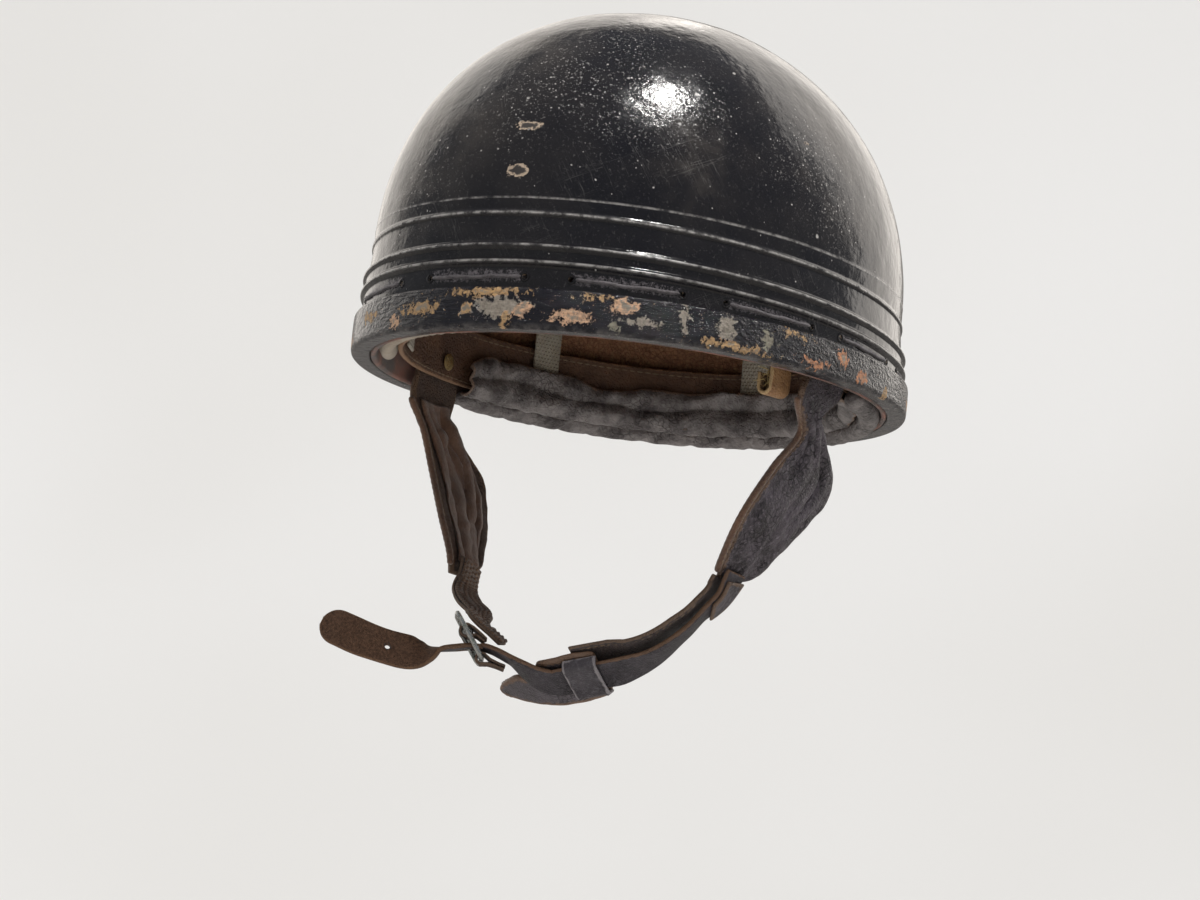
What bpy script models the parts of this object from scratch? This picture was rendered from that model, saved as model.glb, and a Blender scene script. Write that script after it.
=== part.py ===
# A half-shell motorcycle helmet with leather ear flaps and a buckled chin strap.
# Metres, +Z up, front along -Y, wearer's left along +X, origin in the plane of the rim.
import math

import bmesh
import bpy
import numpy as np
from mathutils import Matrix, Vector

for item in list(bpy.data.objects):
    bpy.data.objects.remove(item, do_unlink=True)

# Clearance between pieces that touch, and the length that a cutter runs past its work
seat_gap = 0.0003
cut_overrun = 0.002

# Plan of the rim, seen from above
rim_half_width = 0.1144
rim_front_reach = 0.1352
rim_rear_reach = 0.1372
front_plan_power = 2.0
rear_plan_power = 2.0
plan_segments = 56

# Dome
crown_height = 0.162
dome_foot_height = 0.046
dome_foot_inset = 0.0051
dome_power = 2.1
dome_rows = 11
shell_thickness = 0.005
ridge_tilt = math.radians(2.8)
groove_tilt = math.radians(1.0)
lace_tilt = math.radians(1.9)

# Rim band, its groove, and the raised lines of the shell above it
band_thickness = 0.0026
band_foot_thickness = 0.0016
band_height = 0.0145
band_round = 0.0012
rim_foot_width = 0.0082
lower_bead_height = 0.0213
upper_bead_height = 0.0281
ridge_height = 0.0418
bead_rise = 0.0016
bead_half_height = 0.0021
ridge_rise = 0.0009
ridge_half_height = 0.0026

# Linings
lining_thickness = 0.0024
lining_height = 0.0246
cork_thickness = 0.006
cork_foot_height = 0.0254

# Rim lacing
lace_radius = 0.0006
lace_hole_radius = 0.0012
lace_height = 0.0173
lace_pairs = 12
lace_pair_spacing = 0.019
lace_hole_sides = 8

# Headband, forehead roll and neck curtain
headband_clearance = 0.0088
headband_thickness = 0.0024
headband_foot_height = 0.004
headband_height = 0.026
roll_half_height = 0.0055
roll_centre_height = 0.0055
roll_arc = math.radians(60)
curtain_thickness = 0.0016
curtain_height = 0.0188
curtain_wave = 0.0007
curtain_waves = 9
curtain_roll_radius = 0.0036
curtain_roll_height = 0.0015
curtain_arc = math.radians(83)
tab_width = 0.0125
tab_thickness = 0.0018
tab_drop = 0.011
tab_bend = 0.0032
tab_centre_angle = math.radians(-15.5)
tab_clearance = 0.0008

# Head cradle
cradle_count = 6
cradle_width = 0.014
cradle_thickness = 0.0014
crown_lace_drop = 0.0405
cradle_tuck = 0.022
crown_ring_radius = 0.018
cradle_slack = 0.0005
crown_lace_radius = 0.0014

# Side pivots that the harness hangs from
pivot_back = -0.006
pivot_height = 0.012
rivet_radius = 0.0016
rivet_clearance = 0.0004
rivet_head_radius = 0.0038
rivet_head_thickness = 0.0009
washer_radius = 0.0044
washer_thickness = 0.0008
hanger_thickness = 0.0015
hanger_half_width = 0.009
hanger_foot_height = 0.003
hanger_top_height = 0.024

# Harness: how far it stands off the headband, and how far it reaches to the front and down
harness_stand_off = 0.0005
harness_forward = 0.060
harness_drop = 0.130
flap_thickness = 0.003
flap_bulge = 0.003
flap_lining_thickness = 0.0012
flap_binding_radius = 0.0015
strap_width = 0.0156
strap_thickness = 0.0022
inner_band_thickness = 0.0022
inner_band_step = 0.0045
inner_band_gap = 0.003
inner_band_set_back = 0.0017
strap_tab_width = 0.014
strap_tab_thickness = 0.0016
side_band_width = 0.018
side_band_thickness = 0.0026
strap_hole_radius = 0.0012
strap_slot_length = 0.0086
strap_slot_width = 0.0038

# Chin pad: a plate behind the strap and one wide loop over it
pad_length = 0.056
pad_half_height = 0.014
pad_thickness = 0.0026
pad_clearance = 0.0012
loop_thickness = 0.0014
loop_length = 0.0146
loop_set_back = 0.0083
loop_clearance = 0.0008
loop_lift = 0.0007
loop_lean = 0.003

# Buckle
buckle_yaw = math.radians(32.3)
buckle_pitch = math.radians(56)
buckle_upper_reach = 0.0087
buckle_lower_reach = 0.0144
buckle_half_width = 0.0122
buckle_wire = 0.0022
buckle_thickness = 0.0022
centre_bar_width = 0.002
bar_clearance = 0.0003
buckle_corner = 0.0035
chape_thickness = 0.0016
chape_half_width = 0.0075
chape_length = 0.009
chape_angle = math.radians(-37.4)
side_band_tilt = math.radians(12)
chape_band_distance = 0.0054
tongue_width = 0.0022
tongue_thickness = 0.0018
tongue_slot = 0.0032
end_tab_length = 0.0105
end_tab_thickness = 0.0012
end_tab_angle = math.radians(-14)

parts = bpy.data.collections.new("motorcycle_helmet")
cutters = bpy.data.collections.new("cutters")
bpy.context.scene.collection.children.link(parts)
bpy.context.scene.collection.children.link(cutters)


def finish(name, colour, roughness, metallic=0.0):
    material = bpy.data.materials.new(name)
    material.use_nodes = True
    shader = material.node_tree.nodes["Principled BSDF"]
    shader.inputs["Base Color"].default_value = (*colour, 1.0)
    shader.inputs["Roughness"].default_value = roughness
    shader.inputs["Metallic"].default_value = metallic
    return material


def add_piece(name, mesh, material):
    mesh.materials.clear()
    mesh.materials.append(material)
    piece = bpy.data.objects.new(name, mesh)
    parts.objects.link(piece)
    return piece


def grid_mesh(name, rows, close_columns=False, close_rows=False, start_cap=False, end_cap=False):
    # A surface through rows of points; each row may close on itself, and so may the rows.
    mesh = bpy.data.meshes.new(name)
    shape = bmesh.new()
    verts = [[shape.verts.new(Vector(point)) for point in row] for row in rows]
    count = len(verts[0])
    last_row = len(verts) if close_rows else len(verts) - 1
    last_column = count if close_columns else count - 1
    for i in range(last_row):
        upper = verts[i]
        lower = verts[(i + 1) % len(verts)]
        for j in range(last_column):
            k = (j + 1) % count
            shape.faces.new((upper[j], upper[k], lower[k], lower[j]))
    if start_cap:
        shape.faces.new(verts[0][::-1])
    if end_cap:
        shape.faces.new(verts[-1])
    bmesh.ops.recalc_face_normals(shape, faces=shape.faces)
    shape.to_mesh(mesh)
    shape.free()
    return mesh


def thicken(piece, thickness):
    # The surface becomes a wall with half its thickness to each side.
    wall = piece.modifiers.new("Wall", "SOLIDIFY")
    wall.thickness = thickness
    wall.offset = 0.0
    return piece


def cut(piece, cutter):
    hole = piece.modifiers.new("Cut", "BOOLEAN")
    hole.operation = "DIFFERENCE"
    hole.solver = "EXACT"
    hole.object = cutter
    return piece


def as_cutter(piece):
    parts.objects.unlink(piece)
    cutters.objects.link(piece)
    piece.hide_render = True
    piece.display_type = "WIRE"
    return piece


def rod_between(name, start, end, radius, sides, material):
    axis = Vector(end) - Vector(start)
    mesh = bpy.data.meshes.new(name)
    shape = bmesh.new()
    bmesh.ops.create_cone(
        shape, cap_ends=True, segments=sides, radius1=radius, radius2=radius, depth=axis.length
    )
    turn = axis.to_track_quat("Z", "Y").to_matrix().to_4x4()
    centre = (Vector(start) + Vector(end)) / 2
    shape.transform(Matrix.Translation(centre) @ turn)
    shape.to_mesh(mesh)
    shape.free()
    return add_piece(name, mesh, material)


def flat_piece(name, outlines, thickness, origin, x_axis, y_axis, material):
    # A flat outline with any holes, given thickness about its own plane.
    drawing = bpy.data.curves.new(name, "CURVE")
    drawing.dimensions = "2D"
    drawing.fill_mode = "BOTH"
    drawing.extrude = thickness / 2
    for outline in outlines:
        spline = drawing.splines.new("POLY")
        spline.points.add(len(outline) - 1)
        for point, (x, y) in zip(spline.points, outline):
            point.co = (x, y, 0, 1)
        spline.use_cyclic_u = True
    carrier = bpy.data.objects.new(name, drawing)
    parts.objects.link(carrier)
    x_axis = Vector(x_axis).normalized()
    z_axis = x_axis.cross(Vector(y_axis)).normalized()
    y_axis = z_axis.cross(x_axis)
    turn = Matrix((x_axis, y_axis, z_axis)).transposed().to_4x4()
    carrier.matrix_world = Matrix.Translation(Vector(origin)) @ turn
    return curve_to_mesh(carrier, material)


def tube_piece(name, points, radius, material, cyclic=False, resolution=1):
    route = bpy.data.curves.new(name, "CURVE")
    route.dimensions = "3D"
    route.bevel_depth = radius
    route.bevel_resolution = resolution
    route.use_fill_caps = not cyclic
    spline = route.splines.new("POLY")
    spline.points.add(len(points) - 1)
    for knot, point in zip(spline.points, points):
        knot.co = (*point, 1)
    spline.use_cyclic_u = cyclic
    carrier = bpy.data.objects.new(name, route)
    parts.objects.link(carrier)
    return curve_to_mesh(carrier, material)


def curve_to_mesh(carrier, material):
    name = carrier.name
    bpy.context.view_layer.update()
    depsgraph = bpy.context.evaluated_depsgraph_get()
    mesh = bpy.data.meshes.new_from_object(carrier.evaluated_get(depsgraph))
    shape = bmesh.new()
    shape.from_mesh(mesh)
    bmesh.ops.remove_doubles(shape, verts=shape.verts, dist=seat_gap / 30)
    bmesh.ops.recalc_face_normals(shape, faces=shape.faces)
    shape.to_mesh(mesh)
    shape.free()
    place = carrier.matrix_world.copy()
    bpy.data.objects.remove(carrier, do_unlink=True)
    piece = add_piece(name, mesh, material)
    piece.matrix_world = place
    return piece


def circle(radius, steps, centre=(0.0, 0.0)):
    turns = [math.tau * i / steps for i in range(steps)]
    return [(centre[0] + radius * math.cos(a), centre[1] + radius * math.sin(a)) for a in turns]


def rounded_rectangle(x0, x1, y0, y1, radius, steps=3):
    corners = [(x1 - radius, y1 - radius), (x0 + radius, y1 - radius)]
    corners += [(x0 + radius, y0 + radius), (x1 - radius, y0 + radius)]
    outline = []
    for quarter, (x, y) in enumerate(corners):
        for i in range(steps + 1):
            angle = math.pi / 2 * (quarter + i / steps)
            outline.append((x + radius * math.cos(angle), y + radius * math.sin(angle)))
    return outline


def smooth_route(points, steps):
    # A curve through the points whose slope at each one follows its two neighbours.
    points = np.asarray(points, float)
    first = 2 * points[0] - points[1]
    last = 2 * points[-1] - points[-2]
    knots = np.vstack([first, points, last])
    route = []
    for i in range(1, len(knots) - 2):
        a, b, c, d = knots[i - 1 : i + 3]
        for step in range(steps):
            t = step / steps
            bend = (2 * a - 5 * b + 4 * c - d) * t**2 + (3 * b - a - 3 * c + d) * t**3
            route.append(b + ((c - a) * t + bend) / 2)
    route.append(points[-1])
    return np.array(route)


def unit(vectors):
    vectors = np.asarray(vectors, float)
    return vectors / np.linalg.norm(vectors, axis=-1, keepdims=True)


def plan_point(inset, angle):
    # A superellipse plan, longer behind than in front, drawn in by the inset.
    c = math.cos(angle)
    s = math.sin(angle)
    power = front_plan_power if s < 0 else rear_plan_power
    reach = rim_front_reach if s < 0 else rim_rear_reach
    x = (rim_half_width - inset) * math.copysign(abs(c) ** (2 / power), c)
    y = (reach - inset) * math.copysign(abs(s) ** (2 / power), s)
    return np.array([x, y])


def tilt_rise(y, tilt):
    # The raised lines climb towards the front and level out behind.
    climb = -y if y < 0 else -y + y * y / (2 * rim_rear_reach)
    return climb * math.tan(tilt)


def rim_point(inset, height, angle, tilt=0.0, share=1.0):
    x, y = plan_point(inset, angle) * share
    return np.array([x, y, height + tilt_rise(y, tilt)])


plan_angles = [math.tau * i / plan_segments for i in range(plan_segments)]


def rim_ring(name, section, material):
    # A section of insets, heights and tilts carried round the whole rim.
    rows = []
    for angle in plan_angles:
        rows.append([rim_point(inset, height, angle, tilt) for inset, height, tilt in section])
    return add_piece(name, grid_mesh(name, rows, close_columns=True, close_rows=True), material)


def rim_arc(name, section, start, end, steps, material):
    # The same for part of the rim, closed at both ends.
    rows = []
    for i in range(steps + 1):
        angle = start + (end - start) * i / steps
        rows.append([rim_point(inset, height, angle) for inset, height in section])
    mesh = grid_mesh(name, rows, close_columns=True, start_cap=True, end_cap=True)
    return add_piece(name, mesh, material)


def dome_section(inset, height, rows):
    # Rows from the foot of the dome almost to its crown, as shares of the plan.
    section = []
    for i in range(1, rows + 1):
        turn = math.pi / 2 * i / (rows + 1)
        share = math.cos(turn) ** (2 / dome_power)
        rise = math.sin(turn) ** (2 / dome_power)
        section.append((inset, dome_foot_height + (height - dome_foot_height) * rise, 0.0, share))
    return section


def closed_dome(name, outer, outer_top, inner, inner_top, material):
    # One skin from the outer crown down over the foot and up inside to the inner crown.
    rows = []
    for inset, height, tilt, share in outer[::-1] + inner:
        rows.append([rim_point(inset, height, angle, tilt, share) for angle in plan_angles])
    mesh = grid_mesh(name, rows, close_columns=True)
    shape = bmesh.new()
    shape.from_mesh(mesh)
    shape.verts.ensure_lookup_table()
    rings = (shape.verts[:plan_segments], shape.verts[-plan_segments:])
    for ring, top in zip(rings, (outer_top, inner_top)):
        pole = shape.verts.new((0, 0, top))
        for j in range(plan_segments):
            shape.faces.new((pole, ring[j], ring[(j + 1) % plan_segments]))
    bmesh.ops.recalc_face_normals(shape, faces=shape.faces)
    shape.to_mesh(mesh)
    shape.free()
    return add_piece(name, mesh, material)


def arc_angles(samples):
    # Angles that divide the lace line of the rim into equal lengths.
    fine = np.linspace(0, math.tau, 1441)
    line = np.array([plan_point(shell_outer_inset, angle) for angle in fine])
    run = np.concatenate([[0], np.cumsum(np.linalg.norm(np.diff(line, axis=0), axis=1))])
    return np.interp(np.asarray(samples) % run[-1], run, fine), run[-1]


# Finishes
lacquer = finish("black_lacquer", (0.012, 0.012, 0.015), 0.16)
band_lacquer = finish("chipped_lacquer", (0.045, 0.038, 0.034), 0.32)
felt = finish("grey_felt", (0.30, 0.28, 0.26), 0.9)
cork = finish("cork", (0.25, 0.10, 0.055), 0.9)
thread = finish("lacing_thread", (0.05, 0.045, 0.04), 0.7)
tan_leather = finish("tan_leather", (0.36, 0.22, 0.10), 0.6)
pale_cloth = finish("pale_cloth", (0.48, 0.42, 0.33), 0.85)
grey_leather = finish("grey_leather", (0.085, 0.075, 0.080), 0.55)
dark_leather = finish("dark_leather", (0.045, 0.035, 0.035), 0.5)
brown_suede = finish("brown_suede", (0.11, 0.065, 0.045), 0.85)
webbing = finish("cotton_webbing", (0.42, 0.38, 0.31), 0.9)
brass = finish("old_brass", (0.42, 0.30, 0.12), 0.4, 0.9)
chrome = finish("worn_chrome", (0.55, 0.56, 0.52), 0.25, 1.0)

# Shell
shell_outer_inset = band_thickness + 2 * seat_gap
shell_inner_inset = shell_outer_inset + shell_thickness
shell_foot_height = band_foot_thickness + seat_gap


def raised_line(height, inset_below, inset_above, rise, half_height):
    middle = (inset_below + inset_above) / 2 - rise
    return [
        (inset_below, height - half_height, ridge_tilt, 1.0),
        (middle, height - half_height / 4, ridge_tilt, 1.0),
        (middle, height + half_height / 4, ridge_tilt, 1.0),
        (inset_above, height + half_height, ridge_tilt, 1.0),
    ]


def make_shell():
    valley_inset = (shell_outer_inset + dome_foot_inset) / 2
    outer = [
        (shell_outer_inset, shell_foot_height, 0.0, 1.0),
        (shell_outer_inset, band_height, groove_tilt, 1.0),
    ]
    outer += raised_line(lower_bead_height, shell_outer_inset, shell_outer_inset,
                         bead_rise, bead_half_height)
    outer += raised_line(upper_bead_height, shell_outer_inset, valley_inset,
                         bead_rise, bead_half_height)
    outer += raised_line(ridge_height, dome_foot_inset, dome_foot_inset,
                         ridge_rise, ridge_half_height)
    outer += dome_section(dome_foot_inset, crown_height, dome_rows)
    inner_inset = dome_foot_inset + shell_thickness
    inner = dome_section(inner_inset, crown_height - shell_thickness, dome_rows // 2)[::-1]
    inner = [(inner_inset, dome_foot_height, 0.0, 1.0)] + inner[::-1]
    inner = [
        (shell_inner_inset, shell_foot_height, 0.0, 1.0),
        (shell_inner_inset, lining_height, 0.0, 1.0),
    ] + inner
    return closed_dome("shell_dome", outer, crown_height, inner,
                       crown_height - shell_thickness, lacquer)


shell_dome = make_shell()


def make_cork_lining():
    foot_share = (cork_foot_height - lining_height) / (dome_foot_height - lining_height)
    wall_step = dome_foot_inset + shell_thickness - shell_inner_inset
    outer_inset = dome_foot_inset + shell_thickness + seat_gap
    inner_inset = outer_inset + cork_thickness
    foot_inset = shell_inner_inset + wall_step * foot_share + seat_gap
    outer = [(foot_inset, cork_foot_height, 0.0, 1.0), (outer_inset, dome_foot_height, 0.0, 1.0)]
    outer_top = crown_height - shell_thickness - seat_gap
    outer += dome_section(outer_inset, outer_top, dome_rows // 2)
    inner = [
        (foot_inset + cork_thickness, cork_foot_height, 0.0, 1.0),
        (inner_inset, dome_foot_height, 0.0, 1.0),
    ]
    inner += dome_section(inner_inset, outer_top - cork_thickness, dome_rows // 2)
    return closed_dome("cork_lining", outer, outer_top, inner, outer_top - cork_thickness, cork)


cork_lining = make_cork_lining()

# Rim band: a strip of lacquered cloth that turns under the shell's edge
rim_band = rim_ring(
    "rim_band",
    [
        (band_round, 0.0, 0.0),
        (0.0, band_round, 0.0),
        (0.0, band_height - band_round, groove_tilt),
        (band_round, band_height, groove_tilt),
        (band_thickness, band_height, groove_tilt),
        (band_thickness, band_foot_thickness, 0.0),
        (rim_foot_width, band_foot_thickness, 0.0),
        (rim_foot_width, 0.0, 0.0),
    ],
    band_lacquer,
)

# Rim lining: the grey strip inside the shell's edge, laced to it
lining_outer_inset = shell_inner_inset + seat_gap
lining_inner_inset = lining_outer_inset + lining_thickness
rim_lining = rim_ring(
    "rim_lining",
    [
        (lining_outer_inset, 0.0, 0.0),
        (lining_outer_inset, lining_height, 0.0),
        (lining_inner_inset, lining_height, 0.0),
        (lining_inner_inset, lining_thickness / 2, 0.0),
        (lining_inner_inset - lining_thickness / 2, 0.0, 0.0),
    ],
    felt,
)


def make_lacing():
    # One thread runs round the rim, outside from pair to pair and inside across each pair.
    girth = arc_angles([0.0])[1]
    pitch = girth / lace_pairs
    outer_inset = shell_outer_inset - seat_gap - lace_radius
    inner_inset = lining_inner_inset + seat_gap + lace_radius
    hole_start = outer_inset - cut_overrun
    hole_end = inner_inset + cut_overrun
    thread_points = []
    drills = []
    for pair in range(lace_pairs):
        first = pitch * pair + (pitch - lace_pair_spacing) / 2
        second = first + lace_pair_spacing
        shares = (0.25, 0.5, 0.75)
        outside_run = [first - (pitch - lace_pair_spacing) * share for share in shares[::-1]]
        for angle in arc_angles(outside_run)[0]:
            thread_points.append(rim_point(outer_inset, lace_height, angle, lace_tilt))
        for number, angle in enumerate(arc_angles([first, second])[0]):
            out_point = rim_point(outer_inset, lace_height, angle, lace_tilt)
            in_point = rim_point(inner_inset, lace_height, angle, lace_tilt)
            in_point[2] = out_point[2]
            ends = [out_point, in_point] if number == 0 else [in_point, out_point]
            thread_points += ends
            far_out = rim_point(hole_start, lace_height, angle, lace_tilt)
            far_in = rim_point(hole_end, lace_height, angle, lace_tilt)
            far_out[2] = out_point[2]
            far_in[2] = out_point[2]
            drills.append((far_out, far_in))
            if number == 0:
                middle = arc_angles([first + lace_pair_spacing / 2])[0][0]
                inside = rim_point(inner_inset, lace_height, middle, lace_tilt)
                thread_points.append(inside)
    lace = tube_piece("rim_lace", thread_points, lace_radius, thread, cyclic=True)
    shape = bmesh.new()
    for start, end in drills:
        axis = Vector(end) - Vector(start)
        turn = axis.to_track_quat("Z", "Y").to_matrix().to_4x4()
        place = Matrix.Translation((Vector(start) + Vector(end)) / 2) @ turn
        bmesh.ops.create_cone(
            shape, cap_ends=True, segments=lace_hole_sides, radius1=lace_hole_radius,
            radius2=lace_hole_radius, depth=axis.length, matrix=place
        )
    mesh = bpy.data.meshes.new("lace_holes")
    shape.to_mesh(mesh)
    shape.free()
    holes = as_cutter(add_piece("lace_holes", mesh, thread))
    cut(shell_dome, holes)
    cut(rim_lining, holes)
    return lace


rim_lace = make_lacing()

# Headband: a leather ring inside the rim, with a space for the harness outside it
headband_outer_inset = lining_inner_inset + headband_clearance
headband_inner_inset = headband_outer_inset + headband_thickness
headband_top_height = headband_foot_height + headband_height
headband = rim_ring(
    "headband",
    [
        (headband_outer_inset, headband_foot_height, 0.0),
        (headband_outer_inset, headband_top_height, 0.0),
        (headband_inner_inset, headband_top_height, 0.0),
        (headband_inner_inset, headband_foot_height, 0.0),
    ],
    tan_leather,
)


def ellipse_section(inset, half_width, height, half_height, steps):
    turns = [math.tau * i / steps for i in range(steps)]
    return [(inset + half_width * math.cos(a), height + half_height * math.sin(a)) for a in turns]


space_middle_inset = lining_inner_inset + headband_clearance / 2
roll_half_width = headband_clearance / 2 - 1.5 * seat_gap
forehead_roll = rim_arc(
    "forehead_roll",
    ellipse_section(space_middle_inset, roll_half_width, roll_centre_height, roll_half_height, 10),
    -math.pi / 2 - roll_arc, -math.pi / 2 + roll_arc, 24, pale_cloth,
)
curtain_roll = rim_arc(
    "curtain_roll",
    ellipse_section(space_middle_inset, curtain_roll_radius, curtain_roll_height,
                    curtain_roll_radius, 8),
    math.pi / 2 - curtain_arc, math.pi / 2 + curtain_arc, 32, grey_leather,
)


def make_curtain():
    # The neck curtain is tucked up inside the rear of the rim in soft waves.
    foot = curtain_roll_height + curtain_roll_radius + seat_gap
    columns = 6 * curtain_waves
    rows = []
    for level in (0.0, 0.5, 1.0):
        row = []
        for i in range(columns + 1):
            angle = math.pi / 2 + curtain_arc * (2 * i / columns - 1)
            wave = curtain_wave * math.sin(math.tau * curtain_waves * i / columns) * (1 - level / 2)
            height = foot + curtain_height * level
            row.append(rim_point(space_middle_inset + wave, height, angle))
        rows.append(row)
    piece = add_piece("neck_curtain", grid_mesh("neck_curtain", rows), grey_leather)
    return thicken(piece, curtain_thickness)


neck_curtain = make_curtain()


def ribbon(name, centres, edges, half_widths, thickness, material, columns=2):
    # A strip of even thickness: each row runs across its centre along the edge direction.
    centres = np.asarray(centres, float)
    across = np.linspace(-1, 1, columns + 1)
    rows = []
    for centre, edge, half_width in zip(centres, edges, half_widths):
        rows.append([centre + edge * half_width * side for side in across])
    return thicken(add_piece(name, grid_mesh(name, rows), material), thickness)


def square_edges(centres, edges):
    # Edge directions made square to the run of the strip.
    runs = unit(np.gradient(np.asarray(centres, float), axis=0))
    edges = unit(edges)
    edges = edges - (edges * runs).sum(axis=1, keepdims=True) * runs
    return unit(edges)


def make_headband_tab():
    # A folded leather tab that hangs from the headband at the left front.
    inset = headband_inner_inset + tab_clearance + tab_thickness / 2
    point = plan_point(inset, tab_centre_angle)
    nearby = plan_point(inset, tab_centre_angle + math.radians(1))
    along = np.append(unit(nearby - point), 0.0)
    inward = np.array([-along[1], along[0], 0.0])
    top = headband_foot_height + headband_height / 2
    bottom = headband_foot_height - tab_drop + tab_bend
    outline = [(0.0, top), (0.0, (top + bottom) / 2), (0.0, bottom)]
    for turn in (0.25, 0.5, 0.75):
        swing = math.pi * turn
        outline.append((tab_bend * (1 - math.cos(swing)), bottom - tab_bend * math.sin(swing)))
    outline += [(2 * tab_bend, bottom), (2 * tab_bend, bottom + tab_drop / 2)]
    centre = np.append(point, 0.0)
    centres = [centre + inward * step + np.array([0, 0, height]) for step, height in outline]
    edges = [along] * len(centres)
    widths = [tab_width / 2] * len(centres)
    return ribbon("headband_tab", centres, edges, widths, tab_thickness, tan_leather)


headband_tab = make_headband_tab()


def make_cradle():
    # Webbing straps rise from the headband and each is turned round the crown lace.
    inset = headband_inner_inset + seat_gap + cradle_slack + cradle_thickness / 2
    ring_height = crown_height - crown_lace_drop
    turn_radius = crown_lace_radius + seat_gap + cradle_thickness / 2
    lace_corners = []
    for number in range(cradle_count):
        angle = math.tau * (number + 0.5) / cradle_count
        foot = plan_point(inset, angle)
        reach = float(np.linalg.norm(foot))
        outward = foot / reach
        profile = [(reach, headband_top_height - cradle_tuck), (reach, headband_top_height)]
        rise = ring_height - turn_radius - headband_top_height
        last_share = (crown_ring_radius + 3 * turn_radius) / reach
        last_turn = math.acos(last_share ** (dome_power / 2))
        for i in range(1, 9):
            turn = last_turn * i / 8
            share = math.cos(turn) ** (2 / dome_power)
            height = headband_top_height + rise * math.sin(turn) ** (2 / dome_power)
            profile.append((reach * share, height))
        for i in range(7):
            turn = -math.pi / 2 - math.pi * i / 6
            x = crown_ring_radius + turn_radius * math.cos(turn)
            profile.append((x, ring_height + turn_radius * math.sin(turn)))
        profile.append((crown_ring_radius + 2 * turn_radius, ring_height + turn_radius))
        centres = [np.array([*(outward * r), z]) for r, z in profile]
        side_edge = np.array([-outward[1], outward[0], 0.0])
        nearby = plan_point(inset, angle + math.radians(1)) - foot
        foot_edge = unit(np.append(nearby, 0.0))
        edges = []
        for r, z in profile:
            share = min((reach - r) / (reach - crown_ring_radius), 1.0)
            edges.append(unit(foot_edge * (1 - share) + side_edge * share))
        ribbon("cradle_strap_%d" % (number + 1), centres, edges,
               [cradle_width / 2] * len(centres), cradle_thickness, webbing, columns=1)
        middle = np.append(outward * crown_ring_radius, ring_height)
        lace_corners += [middle - side_edge * cradle_width * 0.55,
                         middle + side_edge * cradle_width * 0.55]
    return tube_piece("crown_lace", lace_corners, crown_lace_radius, thread, cyclic=True)


crown_lace = make_cradle()

# Side pivots: from the head outwards they hold headband, flap, washer and hanger tab
harness_half_width = rim_half_width - headband_outer_inset + harness_stand_off + flap_thickness / 2
flap_outer_x = harness_half_width + flap_thickness / 2
washer_inner_x = flap_outer_x + seat_gap
washer_outer_x = washer_inner_x + washer_thickness
hanger_inner_x = washer_outer_x + seat_gap
hanger_outer_x = hanger_inner_x + hanger_thickness
outer_head_x = hanger_outer_x + seat_gap


def plan_half_width(inset, y):
    # Half width of the drawn-in plan at a distance to the front or back.
    reach = rim_front_reach if y < 0 else rim_rear_reach
    power = front_plan_power if y < 0 else rear_plan_power
    share = 1 - (abs(y) / (reach - inset)) ** power
    return (rim_half_width - inset) * share ** (1 / power)


inner_head_x = plan_half_width(headband_inner_inset, pivot_back - rivet_head_radius) - seat_gap
pivot = np.array([0.0, pivot_back, pivot_height])


def side_point(side, x):
    return (side * x, pivot_back, pivot_height)


def turned_piece(name, side, profile, material):
    # A profile of distances along the pivot and radii, turned about the pivot.
    mesh = bpy.data.meshes.new(name)
    shape = bmesh.new()
    verts = [shape.verts.new((side * x, radius, 0)) for x, radius in profile[::side]]
    for first, second in zip(verts, verts[1:]):
        shape.edges.new((first, second))
    if profile[0][1] > 0:
        shape.edges.new((verts[-1], verts[0]))
    shape.to_mesh(mesh)
    shape.free()
    piece = add_piece(name, mesh, material)
    piece.location = pivot
    screw = piece.modifiers.new("Turn", "SCREW")
    screw.axis = "X"
    screw.steps = 20
    screw.render_steps = 20
    screw.use_merge_vertices = True
    screw.merge_threshold = 0.00001
    return piece


def make_pivot(side, word):
    tip_x = outer_head_x + rivet_head_thickness
    root_x = inner_head_x - rivet_head_thickness
    profile = [
        (tip_x, 0.0),
        (tip_x, rivet_head_radius * 0.7),
        (outer_head_x, rivet_head_radius),
        (outer_head_x, rivet_radius),
        (inner_head_x, rivet_radius),
        (inner_head_x, rivet_head_radius),
        (root_x, rivet_head_radius * 0.7),
        (root_x, 0.0),
    ]
    turned_piece(word + "_pivot_rivet", side, profile, brass)
    bore = rivet_radius + rivet_clearance
    ring = [
        (washer_outer_x, bore),
        (washer_outer_x, washer_radius),
        (washer_inner_x, washer_radius),
        (washer_inner_x, bore),
    ]
    turned_piece(word + "_pivot_washer", side, ring, brass)
    drill = as_cutter(rod_between(word + "_pivot_hole", side_point(side, root_x - cut_overrun),
                                  side_point(side, tip_x + cut_overrun), bore, 16, brass))
    cut(headband, drill)
    outline = rounded_rectangle(pivot_back - hanger_half_width, pivot_back + hanger_half_width,
                                hanger_foot_height, hanger_top_height, hanger_half_width / 3)
    middle_x = side * (hanger_inner_x + hanger_outer_x) / 2
    hanger = flat_piece(word + "_hanger_tab", [outline], hanger_thickness,
                        (middle_x, 0, 0), (0, 1, 0), (0, 0, 1), tan_leather)
    cut(hanger, drill)
    return drill


left_drill = make_pivot(1, "left")
right_drill = make_pivot(-1, "right")

# Places on the harness are shares of its reach to the side, to the front and down
harness_reach = np.array([harness_half_width, harness_forward, harness_drop])

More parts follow.
